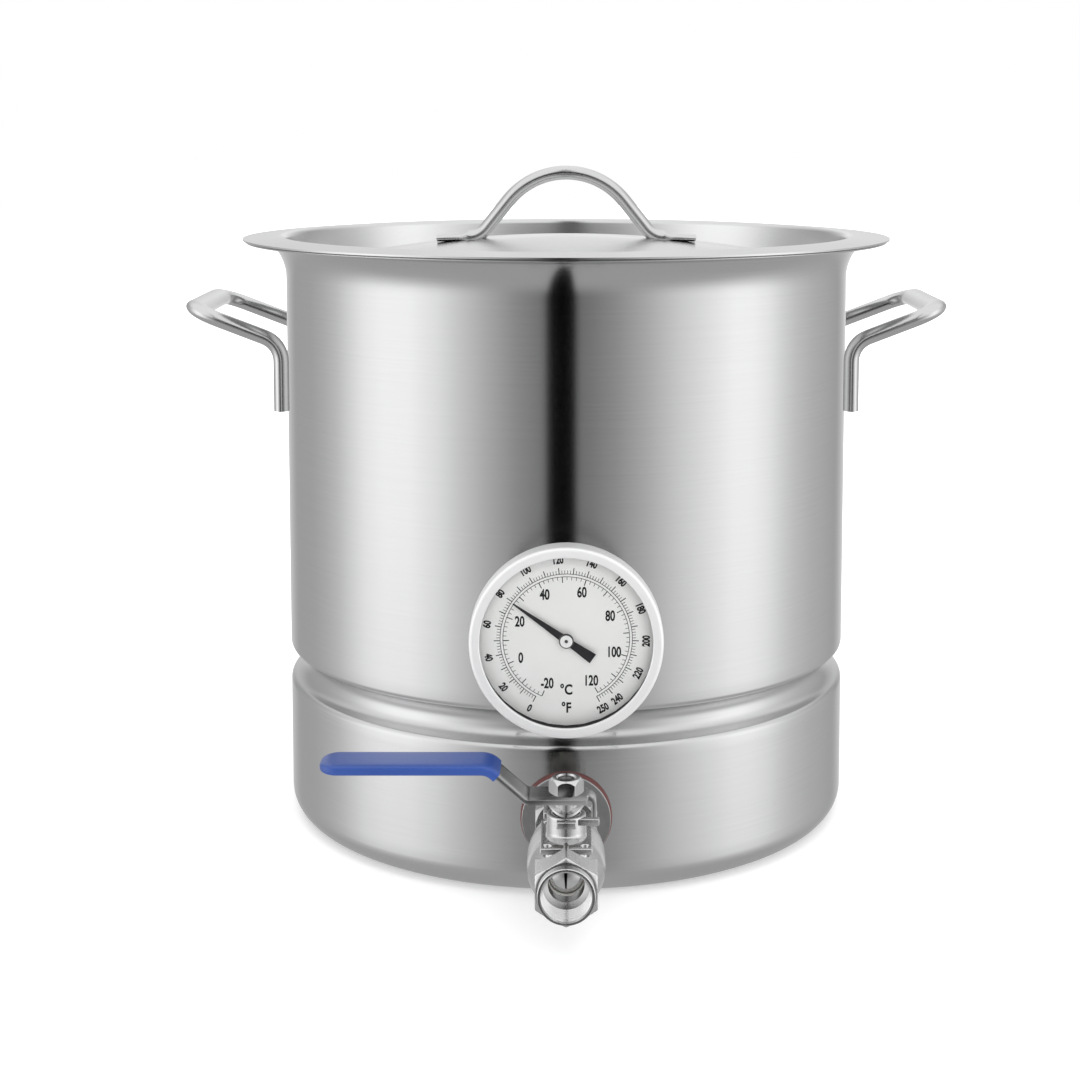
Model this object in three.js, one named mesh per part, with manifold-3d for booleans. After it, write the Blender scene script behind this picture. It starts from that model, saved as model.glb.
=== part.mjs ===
// A stainless brew kettle: a 280 mm stock pot with a beaded wall, a recessed lid, two welded side handles,
// a perforated false bottom on the bead, a dial thermometer and a half-inch ball valve with a pick-up tube.
// Millimetres, +Z up, origin at the centre of the flat base, valve and dial facing -Y.
import * as THREE from "three";
import { mergeVertices } from "three/addons/utils/BufferGeometryUtils.js";
import Module from "manifold-3d";

const wasm = await Module();
wasm.setup();

// ---------- driving dimensions ----------
const gap = 0.3; // air left between pieces that touch
const around = 40; // flats round the pot and the lid
const dialSides = 32;

const potRadius = 140;
const potHeight = 287.6;
const potSheet = 1;
const baseCorner = 12;
const flareStart = 269; // where the wall begins to spread into the mouth
const flareWide = 24; // radius of the first, wide sweep
const flareLean = 40; // how far the wide sweep leans out before the tighter one, in degrees
const rimRadius = 159.8;

const beadHeight = 77; // middle of the bead that carries the false bottom
const beadDepth = 8;
const beadShoulder = 3;
const beadHollow = 7.5;

const portHeight = 38; // valve axis above the base
const dialHeight = 124; // thermometer axis above the base
const threadRadius = 10.2; // half-inch pipe thread
const wallHole = threadRadius + 0.6;

const valveReach = 60; // ball centre, out from the pot wall
const outletReach = 33; // outlet face, out from the ball centre
const inletReach = 29; // inlet face, back from the ball centre
const portBore = 7.5;
const ballRadius = 12.5;

const stripWidth = 17.4;
const stripThickness = 2.2;
const leverLength = 99.2;

// ---------- finishes ----------
function finish(color, roughness, metalness, opacity = 1) {
  return new THREE.MeshStandardMaterial({
    color,
    roughness,
    metalness,
    opacity,
    transparent: opacity < 1,
  });
}
const brushedSteel = finish(0xc4c6c8, 0.32, 1);
const castSteel = finish(0xb4b6b8, 0.45, 1);
const polishedSteel = finish(0xd6d8da, 0.12, 1);
const blueVinyl = finish(0x2c52b4, 0.35, 0);
const whitePlastic = finish(0xe8e6df, 0.5, 0);
const redSilicone = finish(0x8c5a57, 0.6, 0);
const blackRubber = finish(0x1c1c1e, 0.7, 0);
const dialWhite = finish(0xe4e4e2, 0.55, 0);
const pointerBlack = finish(0x2a2a2c, 0.5, 0);
const clearGlass = finish(0xf2f6f6, 0.05, 0, 0.3);

// ---------- shared shape tools ----------
function solidOf(geometry) {
  const bare = geometry.index ? geometry.toNonIndexed() : geometry.clone();
  bare.deleteAttribute("normal");
  bare.deleteAttribute("uv");
  const merged = mergeVertices(bare, 1e-3);
  return new wasm.Manifold(
    new wasm.Mesh({
      numProp: 3,
      vertProperties: merged.attributes.position.array,
      triVerts: new Uint32Array(merged.index.array),
    }),
  );
}

function geometryOf(solid) {
  const mesh = solid.getMesh();
  const geometry = new THREE.BufferGeometry();
  geometry.setAttribute("position", new THREE.BufferAttribute(mesh.vertProperties, 3));
  geometry.setIndex(new THREE.BufferAttribute(mesh.triVerts, 1));
  return geometry;
}

function join(first, ...others) {
  return geometryOf(others.reduce((sum, other) => sum.add(solidOf(other)), solidOf(first)));
}

function cut(stock, ...tools) {
  return geometryOf(tools.reduce((left, tool) => left.subtract(solidOf(tool)), solidOf(stock)));
}

function common(first, second) {
  return geometryOf(solidOf(first).intersect(solidOf(second)));
}

// Points of an arc in a profile, as [radius, height], from one angle to another in degrees.
function arc(centreR, centreZ, radius, from, to, steps) {
  return Array.from({ length: steps + 1 }, (_, i) => {
    const angle = THREE.MathUtils.degToRad(from + ((to - from) * i) / steps);
    return [centreR + radius * Math.cos(angle), centreZ + radius * Math.sin(angle)];
  });
}

// A turned piece on the Z axis. The profile runs anticlockwise: up its outside and down its inside.
function turned(profile, segments = 32) {
  const points = profile.map(([r, z]) => new THREE.Vector2(Math.max(r, 0), z));
  return new THREE.LatheGeometry(points, segments).rotateX(Math.PI / 2);
}

// A plain rod on the Z axis, from one height to another.
function rod(radius, from, to, segments = 20) {
  return new THREE.CylinderGeometry(radius, radius, to - from, segments)
    .rotateX(Math.PI / 2)
    .translate(0, 0, (from + to) / 2);
}

// A flat ring or bush on the Z axis.
function ring(outer, inner, from, to, segments = 20) {
  const section = [[inner, from], [outer, from], [outer, to], [inner, to], [inner, from]];
  return turned(section, segments);
}

// A hexagon bar on the Z axis, one corner towards +Y, its end corners turned down by the chamfer.
function hexBar(acrossFlats, from, to, chamferFrom = 0, chamferTo = 0) {
  const corner = acrossFlats / Math.sqrt(3);
  const bar = new THREE.CylinderGeometry(corner, corner, to - from, 6)
    .rotateX(Math.PI / 2)
    .rotateZ(Math.PI)
    .translate(0, 0, (from + to) / 2);
  if (!chamferFrom && !chamferTo) return bar;
  const flat = acrossFlats / 2 - 0.2;
  const clear = corner + 0.1;
  const turnedDown = turned(
    [
      [0, from],
      [chamferFrom ? flat : clear, from],
      [clear, from + (chamferFrom || 0.01)],
      [clear, to - (chamferTo || 0.01)],
      [chamferTo ? flat : clear, to],
      [0, to],
    ],
    24,
  );
  return common(bar, turnedDown);
}

function box(width, depth, height, x, y, z) {
  return new THREE.BoxGeometry(width, depth, height).translate(x, y, z);
}

// A flat outline in the XY plane with rounded corners.
function roundedRectangle(width, depth, radius) {
  const x = width / 2;
  const y = depth / 2;
  const shape = new THREE.Shape();
  shape.moveTo(-x + radius, -y);
  shape.lineTo(x - radius, -y);
  shape.absarc(x - radius, -y + radius, radius, -Math.PI / 2, 0);
  shape.lineTo(x, y - radius);
  shape.absarc(x - radius, y - radius, radius, 0, Math.PI / 2);
  shape.lineTo(-x + radius, y);
  shape.absarc(-x + radius, y - radius, radius, Math.PI / 2, Math.PI);
  shape.lineTo(-x, -y + radius);
  shape.absarc(-x + radius, -y + radius, radius, Math.PI, 1.5 * Math.PI);
  return shape;
}

function plate(shape, from, to, curveSegments = 4) {
  return new THREE.ExtrudeGeometry(shape, {
    depth: to - from,
    bevelEnabled: false,
    curveSegments,
  }).translate(0, 0, from);
}

// A line bent at its inner points, each corner rounded to its own radius.
function bentPath(corners, radii) {
  const path = new THREE.CurvePath();
  let start = corners[0];
  corners.slice(1, -1).forEach((corner, i) => {
    const before = corners[i].clone().sub(corner).normalize();
    const after = corners[i + 2].clone().sub(corner).normalize();
    const setback = radii[i] / Math.tan(before.angleTo(after) / 2);
    const enter = corner.clone().addScaledVector(before, setback);
    const leave = corner.clone().addScaledVector(after, setback);
    const turn = Math.PI - before.angleTo(after);
    const pull = ((4 / 3) * Math.tan(turn / 4) * radii[i]) / setback;
    path.add(new THREE.LineCurve3(start, enter));
    path.add(
      new THREE.CubicBezierCurve3(
        enter,
        enter.clone().lerp(corner, pull),
        leave.clone().lerp(corner, pull),
        leave,
      ),
    );
    start = leave;
  });
  path.add(new THREE.LineCurve3(start, corners.at(-1)));
  return path;
}

// A bar of one section swept along a path.
function swept(section, path, steps) {
  const bar = new THREE.ExtrudeGeometry(section, { steps, bevelEnabled: false, extrudePath: path });
  return geometryOf(solidOf(bar).simplify(0.03));
}

function ovalSection(halfWidth, halfThickness, sides = 10) {
  const points = Array.from({ length: sides }, (_, i) => {
    const angle = ((i + 0.5) / sides) * 2 * Math.PI;
    return new THREE.Vector2(halfWidth * Math.cos(angle), halfThickness * Math.sin(angle));
  });
  return new THREE.Shape(points);
}

const kettle = new THREE.Group();

function piece(parent, name, geometry, material) {
  const mesh = new THREE.Mesh(geometry, material);
  mesh.name = name;
  parent.add(mesh);
  return mesh;
}

// ---------- pot: one drawn shell with a rolled-in bead and a flared rim ----------
// The bead's wall on one side of the sheet, bottom to top; offset is how far that side lies inside the outer one.
function beadWall(offset) {
  const shoulderR = potRadius - beadShoulder;
  const hollowR = potRadius - beadDepth + beadHollow;
  const centres = beadShoulder + beadHollow;
  const rise = Math.sqrt(centres ** 2 - (hollowR - shoulderR) ** 2);
  const lean = THREE.MathUtils.radToDeg(Math.atan2(rise, hollowR - shoulderR));
  return [
    ...arc(shoulderR, beadHeight - rise, beadShoulder - offset, 0, lean, 2),
    ...arc(hollowR, beadHeight, beadHollow + offset, lean + 180, 180 - lean, 5).slice(1, -1),
    ...arc(shoulderR, beadHeight + rise, beadShoulder - offset, -lean, 0, 2),
  ];
}

// The mouth's flare on one side of the sheet, bottom to top: a wide sweep, then a tight one into the flat rim.
function flare(offset) {
  const lean = THREE.MathUtils.degToRad(flareLean);
  const wideR = potRadius + flareWide;
  const turnR = wideR - flareWide * Math.cos(lean);
  const turnZ = flareStart + flareWide * Math.sin(lean);
  const tight = (potHeight - potSheet - turnZ) / (1 - Math.sin(lean));
  const tightR = turnR + tight * Math.cos(lean);
  const tightZ = turnZ - tight * Math.sin(lean);
  return [
    ...arc(wideR, flareStart, flareWide + offset, 180, 180 - flareLean, 3),
    ...arc(tightR, tightZ, tight + offset, 180 - flareLean, 90, 2).slice(1),
  ];
}

const cornerR = potRadius - baseCorner;

const potShell = turned(
  [
    [0, 0],
    ...arc(cornerR, baseCorner, baseCorner, -90, 0, 3),
    ...beadWall(0),
    ...flare(0),
    [rimRadius, potHeight - potSheet],
    [rimRadius, potHeight],
    ...flare(potSheet).reverse(),
    ...beadWall(potSheet).reverse(),
    ...arc(cornerR, baseCorner, baseCorner - potSheet, 0, -90, 3),
    [0, potSheet],
  ],
  around,
);

// A drill through the front wall at one height.
function wallDrill(height) {
  const depth = 20;
  return new THREE.CylinderGeometry(wallHole, wallHole, depth, 20).translate(0, -potRadius, height);
}

piece(
  kettle,
  "kettle_shell",
  cut(potShell, wallDrill(portHeight), wallDrill(dialHeight)),
  brushedSteel,
);

// ---------- side handles: rolled tube, flattened legs welded to the wall ----------
const handleSpread = 42.5; // legs, each side of the handle's middle
const handleOut = 180.6;
const handleTop = 255;
const legFoot = 206;
const armRise = Math.tan(THREE.MathUtils.degToRad(21));
const tubeHalfWidth = 5.8;
const tubeHalfThickness = 3.7;
// The leg's inner edge is the first to meet the round wall.
const legEdge = handleSpread - tubeHalfWidth;
const legOut = Math.sqrt(potRadius ** 2 - legEdge ** 2) + tubeHalfThickness - 0.4;
const legBend = handleTop - armRise * (handleOut - legOut);

function sideHandle() {
  const path = bentPath(
    [
      new THREE.Vector3(legOut, -handleSpread, legFoot),
      new THREE.Vector3(legOut, -handleSpread, legBend),
      new THREE.Vector3(handleOut, -handleSpread, handleTop),
      new THREE.Vector3(handleOut, handleSpread, handleTop),
      new THREE.Vector3(legOut, handleSpread, legBend),
      new THREE.Vector3(legOut, handleSpread, legFoot),
    ],
    [14, 12, 12, 14],
  );
  const bar = swept(ovalSection(tubeHalfWidth, tubeHalfThickness), path, 48);
  // The legs are pressed flat against the wall where they touch it.
  const wall = new THREE.CylinderGeometry(potRadius + gap, potRadius + gap, 2 * potHeight, around);
  return cut(bar, wall.rotateX(Math.PI / 2));
}

piece(kettle, "handle_right", sideHandle(), brushedSteel);
piece(kettle, "handle_left", sideHandle(), brushedSteel).rotation.z = Math.PI;

// ---------- lid: a domed pan whose channel drops inside the pot mouth ----------
const lidSheet = 0.8;
const lidClearance = 0.4;
const domeRadius = 610;
const domeEdge = 116; // where the dome turns down into the channel
const domeTop = 288.8;
const channelRound = 5;
const shoulderRound = 6;
const slopeAngle = 20; // how far above level the channel's inner slope faces
const slopeLength = 2;
const lidRadius = 161;
const lidEdge = 288.7; // top of the flange at its outer edge
const flangeFall = 4.2; // how far the flange slopes down to that edge, in degrees
const mouthRound = 3.2; // the round between the flange and the wall that drops into the pot
const mouthR = 143.2;

const domeZ = domeTop - domeRadius;
const lean = Math.asin(domeEdge / domeRadius);
const domeLean = THREE.MathUtils.radToDeg(lean);

// The dome's profile from the middle outwards, some way under its outer face.
function domeFace(under) {
  return arc(0, domeZ, domeRadius - under, 90, 90 - domeLean, 4);
}

function lidFace(under) {
  const slope = THREE.MathUtils.degToRad(slopeAngle);
  const shoulderR = (domeRadius - shoulderRound) * Math.sin(lean);
  const shoulderZ = domeZ + (domeRadius - shoulderRound) * Math.cos(lean);
  const span = shoulderRound + channelRound;
  const channelR = shoulderR + span * Math.cos(slope) + slopeLength * Math.sin(slope);
  const channelZ = shoulderZ + span * Math.sin(slope) - slopeLength * Math.cos(slope);
  const wallFoot = potRadius - potSheet - lidClearance - lidSheet - channelRound;
  const fall = THREE.MathUtils.degToRad(flangeFall);
  const mouthZ = lidEdge + (lidRadius - mouthR) * Math.tan(fall) - mouthRound / Math.cos(fall);
  // The wall runs straight between the channel's round and the mouth's.
  const reach = Math.hypot(mouthR - wallFoot, mouthZ - channelZ);
  const wallRun = Math.atan2(mouthZ - channelZ, mouthR - wallFoot) + Math.asin((channelRound + mouthRound) / reach);
  const wallTilt = 90 - THREE.MathUtils.radToDeg(wallRun);
  return [
    ...domeFace(under),
    ...arc(shoulderR, shoulderZ, shoulderRound - under, 90 - domeLean, slopeAngle, 2).slice(1),
    ...arc(channelR, channelZ, channelRound + under, 180 + slopeAngle, 270, 2),
    ...arc(wallFoot, channelZ, channelRound + under, 270, 360 - wallTilt, 2),
    ...arc(mouthR, mouthZ, mouthRound - under, 180 - wallTilt, 90 - flangeFall, 3),
    [lidRadius, lidEdge - under / Math.cos(fall)],
  ];
}

const lid = new THREE.Group();
kettle.add(lid);
const lidPan = turned([...lidFace(lidSheet), ...lidFace(0).reverse()], around);
piece(lid, "lid_pan", lidPan, brushedSteel);

// The lid's grab handle stands on the dome, welded through its two feet.
const gripFoot = 65;
const gripKnee = 43.7;
const gripPeak = 342.9; // where its two straight sides would meet
const gripHalfThickness = 3.5;
const gripHalfWidth = 6;

function domeHeight(radius) {
  return domeTop - domeRadius + Math.sqrt(domeRadius ** 2 - radius ** 2);
}

function gripPoint(side, radius) {
  return new THREE.Vector3(side * radius, 0, domeHeight(radius) + gap + 0.5);
}

const gripPath = bentPath(
  [
    gripPoint(-1, gripFoot),
    gripPoint(-1, gripKnee),
    new THREE.Vector3(0, 0, gripPeak),
    gripPoint(1, gripKnee),
    gripPoint(1, gripFoot),
  ],
  [12, 37.3, 12],
);
const gripBar = swept(ovalSection(gripHalfWidth, gripHalfThickness), gripPath, 36);
// The feet are pressed flat where they lie on the dome.
const domeTool = turned([[0, 200], [domeEdge, 200], ...domeFace(-gap).reverse()], around);
piece(lid, "lid_handle", cut(gripBar, domeTool), brushedSteel);

// ---------- false bottom: a sieve plate that rests on the bead ----------
const sieveRadius = 136;
const sieveSheet = 1.2;
const sieveRim = 5;
// The plate's lower edge lies on the bead's inner face, where that face is as wide as the plate.
const beadInnerRadius = beadHollow + potSheet;
const beadInnerCentre = potRadius - beadDepth + beadHollow;
const sieveHeight =
  beadHeight + Math.sqrt(beadInnerRadius ** 2 - (beadInnerCentre - sieveRadius) ** 2) + gap;

const falseBottom = new THREE.Group();
falseBottom.position.z = sieveHeight;
kettle.add(falseBottom);
piece(
  falseBottom,
  "false_bottom_plate",
  turned(
    [
      [0, 0],
      [sieveRadius, 0],
      [sieveRadius, sieveRim],
      [sieveRadius - sieveSheet, sieveRim],
      [sieveRadius - sieveSheet, sieveSheet],
      [0, sieveSheet],
    ],
    around,
  ),
  brushedSteel,
);

const loopHalf = 17;
const loopTop = 24;
const loopWire = 2.5;
const loopPath = bentPath(
  [
    new THREE.Vector3(-loopHalf - 12, 0, sieveSheet + gap + loopWire),
    new THREE.Vector3(-loopHalf, 0, sieveSheet + gap + loopWire),
    new THREE.Vector3(-loopHalf, 0, loopTop),
    new THREE.Vector3(loopHalf, 0, loopTop),
    new THREE.Vector3(loopHalf, 0, sieveSheet + gap + loopWire),
    new THREE.Vector3(loopHalf + 12, 0, sieveSheet + gap + loopWire),
  ],
  [5, 9, 9, 5],
);
piece(
  falseBottom,
  "false_bottom_handle",
  swept(ovalSection(loopWire, loopWire, 8), loopPath, 36),
  polishedSteel,
);

// ---------- wall fittings: their frame has +Z pointing out of the pot and +Y up ----------
function wallFrame(height, reach) {
  const frame = new THREE.Group();
  frame.rotation.x = Math.PI / 2;
  frame.position.set(0, -potRadius - reach, height);
  kettle.add(frame);
  return frame;
}

// The pot's round wall in a fitting's frame, with the same flats as the shell.
function wallRound(radius, length) {
  return new THREE.CylinderGeometry(radius, radius, length, around).translate(0, 0, -potRadius);
}

// A rubber washer whose back is moulded to the outside of the wall.
function outerGasket(outer, front) {
  return cut(ring(outer, wallHole, -3, front), wallRound(potRadius + gap, 4 * outer));
}

// The same for the inside of the wall.
function innerGasket(outer, back) {
  return common(ring(outer, wallHole, back, 0), wallRound(potRadius - potSheet - gap, 4 * outer));
}

const innerFace = -potSheet - gap;

// ---------- drain port: nipple through the wall, its seals and nuts ----------
const port = wallFrame(portHeight, 0);
const portGasketFront = 3.3;
const portWasherFront = portGasketFront + gap + 1.5;
const portInside = -17;
const portInsert = 9; // how far the nipple screws into the valve
const nippleOut = valveReach - inletReach + portInsert;
const collarBack = portWasherFront + gap;
const collarFront = collarBack + 11;
const gasketBack = -3.6;
const locknutBack = gasketBack - gap - 6;

piece(port, "port_gasket_outer", outerGasket(20.4, portGasketFront), redSilicone);
piece(
  port,
  "port_washer_outer",
  ring(19.8, wallHole, portGasketFront + gap, portWasherFront, 28),
  polishedSteel,
);
piece(
  port,
  "port_nipple",
  cut(
    join(
      rod(threadRadius, portInside, nippleOut),
      hexBar(27, collarBack, collarFront, 1, 1),
    ),
    rod(portBore, portInside - 1, nippleOut + 1),
  ),
  castSteel,
);
piece(port, "port_gasket_inner", innerGasket(17, gasketBack), redSilicone);
const locknutBore = threadRadius + gap;
piece(
  port,
  "port_locknut",
  cut(
    hexBar(30, locknutBack, gasketBack - gap, 0.8, 0.8),
    rod(locknutBore, locknutBack - 1, innerFace),
  ),
  polishedSteel,
);

// The pick-up tube hangs from the nipple's inner end and reaches down to the base.
const pickupOuter = 6.3;
const pickupInner = 5.2;
const pickupBend = 34; // how far in from the wall the tube turns down
const pickupFoot = 4.5;
const ferruleBack = portInside - gap - 1.4;
const pickupNutBack = ferruleBack - gap - 2;

piece(
  port,
  "pickup_nut",
  cut(
    hexBar(25, pickupNutBack, locknutBack - gap, 1, 1),
    rod(locknutBore, ferruleBack - gap, locknutBack + 1),
    rod(pickupOuter + gap, pickupNutBack - 1, 0),
  ),
  polishedSteel,
);
const pickupSection = ovalSection(pickupOuter, pickupOuter, 12);
pickupSection.holes.push(ovalSection(pickupInner, pickupInner, 12));
const pickupPath = bentPath(
  [
    new THREE.Vector3(0, 0, portInside + 6),
    new THREE.Vector3(0, 0, -pickupBend),
    new THREE.Vector3(0, pickupFoot - portHeight, -pickupBend),
  ],
  [12],
);
piece(
  port,
  "pickup_tube",
  join(
    swept(pickupSection, pickupPath, 16),
    ring(threadRadius - 0.6, pickupInner + 0.4, ferruleBack, portInside - gap),
  ),
  polishedSteel,
);

// ---------- ball valve: cast body and end cap round a floating ball ----------
const valve = wallFrame(portHeight, valveReach);
const cavity = 13.1;
const shoulder = 12.9;
const outletThread = 10;
const outletThreadDepth = 12.5;
const bodyBack = -17.4;
const gasketThickness = 0.9;
const neckRadius = 8.2;
const neckTop = 23.2;
const padTop = 14;

// An upright rod in the valve's frame.
function upright(radius, from, to) {
  return rod(radius, from, to).rotateX(-Math.PI / 2);
}

const barrel = turned(
  [
    [0, bodyBack],
    [15.4, bodyBack],
    [16.4, -11],
    [16.4, 3],
    [15, 10],
    [12, 18],
    [0, 18],
  ],
  28,
);

function mountingPad() {
  const shape = roundedRectangle(21.4, 34, 4);
  for (const x of [-7.75, 7.75]) {
    for (const y of [-13.5, 13.5]) {
      const hole = new THREE.Path();
      hole.absarc(x, y, 1.8, 0, 2 * Math.PI, true);
      shape.holes.push(hole);
    }
  }
  return plate(shape, padTop - 2.8, padTop).rotateX(-Math.PI / 2);
}

// Stops round the top of the neck: closed (right, just in front of the lever's tab), open (back left), and a front lug.
const lugHeight = 2.8;
const lugY = 21.2;
const stopLugs = [
  box(9.5, lugHeight, 3.2, 8.9, lugY, 4.9),
  box(3.2, lugHeight, 13, -7.9, lugY, -7.2),
  box(8, lugHeight, 4, 0, lugY, 8.6),
];

piece(
  valve,
  "valve_body",
  cut(
    join(
      barrel,
      hexBar(25.4, 12, outletReach - 4, 0, 1.2),
      rod(11.8, outletReach - 5, outletReach, 28),
      upright(neckRadius, 5, neckTop),
      mountingPad(),
      ...stopLugs,
    ),
    rod(cavity, bodyBack - 1, shoulder),
    rod(portBore, 0, outletReach),
    rod(outletThread, outletReach - outletThreadDepth, outletReach + 1),
    upright(5.8, 0, 16),
    upright(4.3, 0, neckTop),
    upright(6.2, 17.2, neckTop + 1),
  ),
  castSteel,
);

const capFlange = bodyBack - gasketThickness - 2 * gap;
const spigot = cavity - gap;
const seatBack = 12.4;
piece(
  valve,
  "valve_end_cap",
  cut(
    join(
      hexBar(25, -inletReach, capFlange - 3, 1.5, 0),
      rod(15.2, capFlange - 4, capFlange),
      rod(spigot, capFlange - 1, -seatBack - gap),
    ),
    rod(locknutBore, -inletReach - 1, -inletReach + portInsert + gap),
    rod(portBore, -inletReach, 0),
  ),
  castSteel,
);
piece(
  valve,
  "valve_body_gasket",
  ring(15, spigot + gap, capFlange + gap, bodyBack - gap, 24),
  whitePlastic,
);

// Each seat is a plastic ring whose face is turned to the ball.
function seat() {
  const touch = ballRadius + gap;
  const onBall = (r) => [r, Math.sqrt(touch ** 2 - r ** 2) + 0.1];
  return turned(
    [onBall(portBore), onBall(9.8), onBall(11.7), [11.7, seatBack], [portBore, seatBack], onBall(portBore)],
    24,
  );
}
piece(valve, "valve_seat_front", seat(), whitePlastic);
piece(valve, "valve_seat_rear", seat(), whitePlastic).rotation.y = Math.PI;

// ---------- stem, ball and lever: upright frame on the ball's centre ----------
const stemFrame = new THREE.Group();
stemFrame.position.set(0, -potRadius - valveReach, portHeight);
kettle.add(stemFrame);

const stemRadius = 4;
const stemFlat = 3; // half the width across its two flats
const slotFloor = 8.6;
const slotHalf = 1.8;
const collarTop = 14.4;
const packingNutTop = neckTop - 0.2;
const stripBottom = 29.2;
const stripTop = stripBottom + stripThickness;
const nutTop = 38.4;

piece(
  stemFrame,
  "valve_ball",
  cut(
    new THREE.SphereGeometry(ballRadius, 22, 12).rotateX(Math.PI / 2),
    rod(portBore, -20, 20).rotateY(Math.PI / 2),
    box(2 * slotHalf, 30, 10, 0, 0, slotFloor + 5),
  ),
  polishedSteel,
);

// Two flats on the stem drive the lever; a thin tongue below drives the ball.
const tongueHalf = slotHalf - gap;
const flatsFrom = stripBottom - 0.7;
piece(
  stemFrame,
  "valve_stem",
  cut(
    join(
      box(2 * tongueHalf, 8, 6, 0, 0, slotFloor + gap + 3),
      rod(5.5, 12.9, collarTop),
      rod(stemRadius, collarTop - 1, nutTop - 0.4),
    ),
    box(20, 10, 20, 0, stemFlat + 5, flatsFrom + 10),
    box(20, 10, 20, 0, -stemFlat - 5, flatsFrom + 10),
  ),
  polishedSteel,
);
const stemHole = stemRadius + gap;
piece(stemFrame, "thrust_washer", ring(5.5, stemHole, collarTop + gap, 15.7), whitePlastic);
piece(stemFrame, "stem_packing", ring(5.9, stemHole, 17.5, 20.2), whitePlastic);
// The packing nut screws down inside the neck, and is turned by the slot across it.
piece(
  stemFrame,
  "packing_nut",
  cut(ring(5.9, stemHole, 20.5, packingNutTop), box(20, 1.6, 2, 0, 0, packingNutTop)),
  polishedSteel,
);

// The saddle washer is bent up at its sides, to press the lever up against its nut.
const saddleOuter = 7.9;
const saddleMiddle = 26.2;
const saddleBend = 1.9;
const saddleHalf = 0.5;

function saddleWasher() {
  const steps = 28;
  const section = [
    [stemHole + 0.2, -saddleHalf],
    [saddleOuter, -saddleHalf],
    [saddleOuter, saddleHalf],
    [stemHole + 0.2, saddleHalf],
  ];
  const vertices = [];
  const faces = [];
  for (let i = 0; i < steps; i++) {
    const angle = (2 * Math.PI * i) / steps;
    const rise = saddleMiddle + saddleBend * Math.cos(2 * angle);
    section.forEach(([r, z], k) => {
      vertices.push(r * Math.cos(angle), r * Math.sin(angle), z + rise);
      const next = (k + 1) % 4;
      const [a, b] = [4 * i + k, 4 * i + next];
      const [c, d] = [4 * ((i + 1) % steps) + next, 4 * ((i + 1) % steps) + k];
      faces.push(a, c, b, a, d, c);
    });
  }
  const geometry = new THREE.BufferGeometry();
  geometry.setAttribute("position", new THREE.Float32BufferAttribute(vertices, 3));
  geometry.setIndex(faces);
  return geometry;
}
piece(stemFrame, "spring_washer", saddleWasher(), polishedSteel);

// The lever strip's middle line: hub, rise, then level under the grip.
const levelHeight = 44;
const hubMiddle = stripBottom + stripThickness / 2;
const tabOut = 11.4; // middle of the tab that is bent down against the stops
const tabFoot = 18.2;
const leverLine = [
  [tabOut, hubMiddle],
  [-16.5, hubMiddle],
  [-32, levelHeight],
  [-leverLength, levelHeight],
];

// A strip of even thickness along a line in the XZ plane, as wide as asked across Y.
function strip(line, halfThickness, width) {
  const points = line.map(([x, z]) => new THREE.Vector2(x, z));
  const legs = points.slice(1).map((point, i) => point.clone().sub(points[i]).normalize());
  const sides = points.map((point, i) => {
    const into = legs[Math.max(i - 1, 0)];
    const out = legs[Math.min(i, legs.length - 1)];
    const middle = into.clone().add(out).normalize();
    return new THREE.Vector2(-middle.y, middle.x).multiplyScalar(halfThickness / into.dot(middle));
  });
  const outline = [
    ...points.map((point, i) => point.clone().sub(sides[i])),
    ...points.map((point, i) => point.clone().add(sides[i])).reverse(),
  ];
  return new THREE.ExtrudeGeometry(new THREE.Shape(outline), { depth: width, bevelEnabled: false })
    .rotateX(Math.PI / 2)
    .translate(0, width / 2, 0);
}

// The strip in plan: rounded at its far end, square at the hub.
function leverPlan(farEnd, width, corner) {
  const length = farEnd + 60;
  const outline = roundedRectangle(length, width, corner);
  return plate(outline, -20, 80).translate(60 - length / 2, 0, 0);
}

function leverStrip(extra) {
  const line = leverLine.map(([x, z], i) => [i === leverLine.length - 1 ? x - extra : x, z]);
  const width = stripWidth + 2 * extra;
  const stock = strip(line, stripThickness / 2 + extra, width);
  return common(stock, leverPlan(leverLength + extra, width, 6 + extra));
}

const tabWidth = 9;
const tabMiddle = 1.5;
const hubHole = common(rod(stemHole, 20, 40), box(20, 2 * (stemFlat + gap), 40, 0, 0, 30));
piece(
  stemFrame,
  "lever_strip",
  cut(
    join(
      leverStrip(0),
      box(stripThickness, tabWidth, stripTop - tabFoot, tabOut, tabMiddle, (stripTop + tabFoot) / 2),
    ),
    hubHole,
  ),
  brushedSteel,
);

// The dipped vinyl grip, thicker than the strip all round, from the top of the rise to past the strip's end.
const gripWall = 1.3;
const gripStart = -28;
const gripReach = leverLength + gripWall + 1.1;
const gripLine = leverLine.map(([x, z], i) => [i === leverLine.length - 1 ? -gripReach : x, z]);
const gripWidth = stripWidth + 2 * gripWall;
const gripStock = common(
  strip(gripLine, stripThickness / 2 + gripWall, gripWidth),
  leverPlan(gripReach, gripWidth, 8),
);
piece(
  stemFrame,
  "lever_grip",
  cut(gripStock, box(100, 100, 100, gripStart + 50, 0, 30), leverStrip(gap)),
  blueVinyl,
);
piece(
  stemFrame,
  "lever_nut",
  cut(
    hexBar(12.7, stripTop + gap, nutTop, 0.6, 2.2).rotateZ(Math.PI / 6),
    rod(stemHole, stripTop, nutTop + 1),
  ),
  polishedSteel,
);

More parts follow.
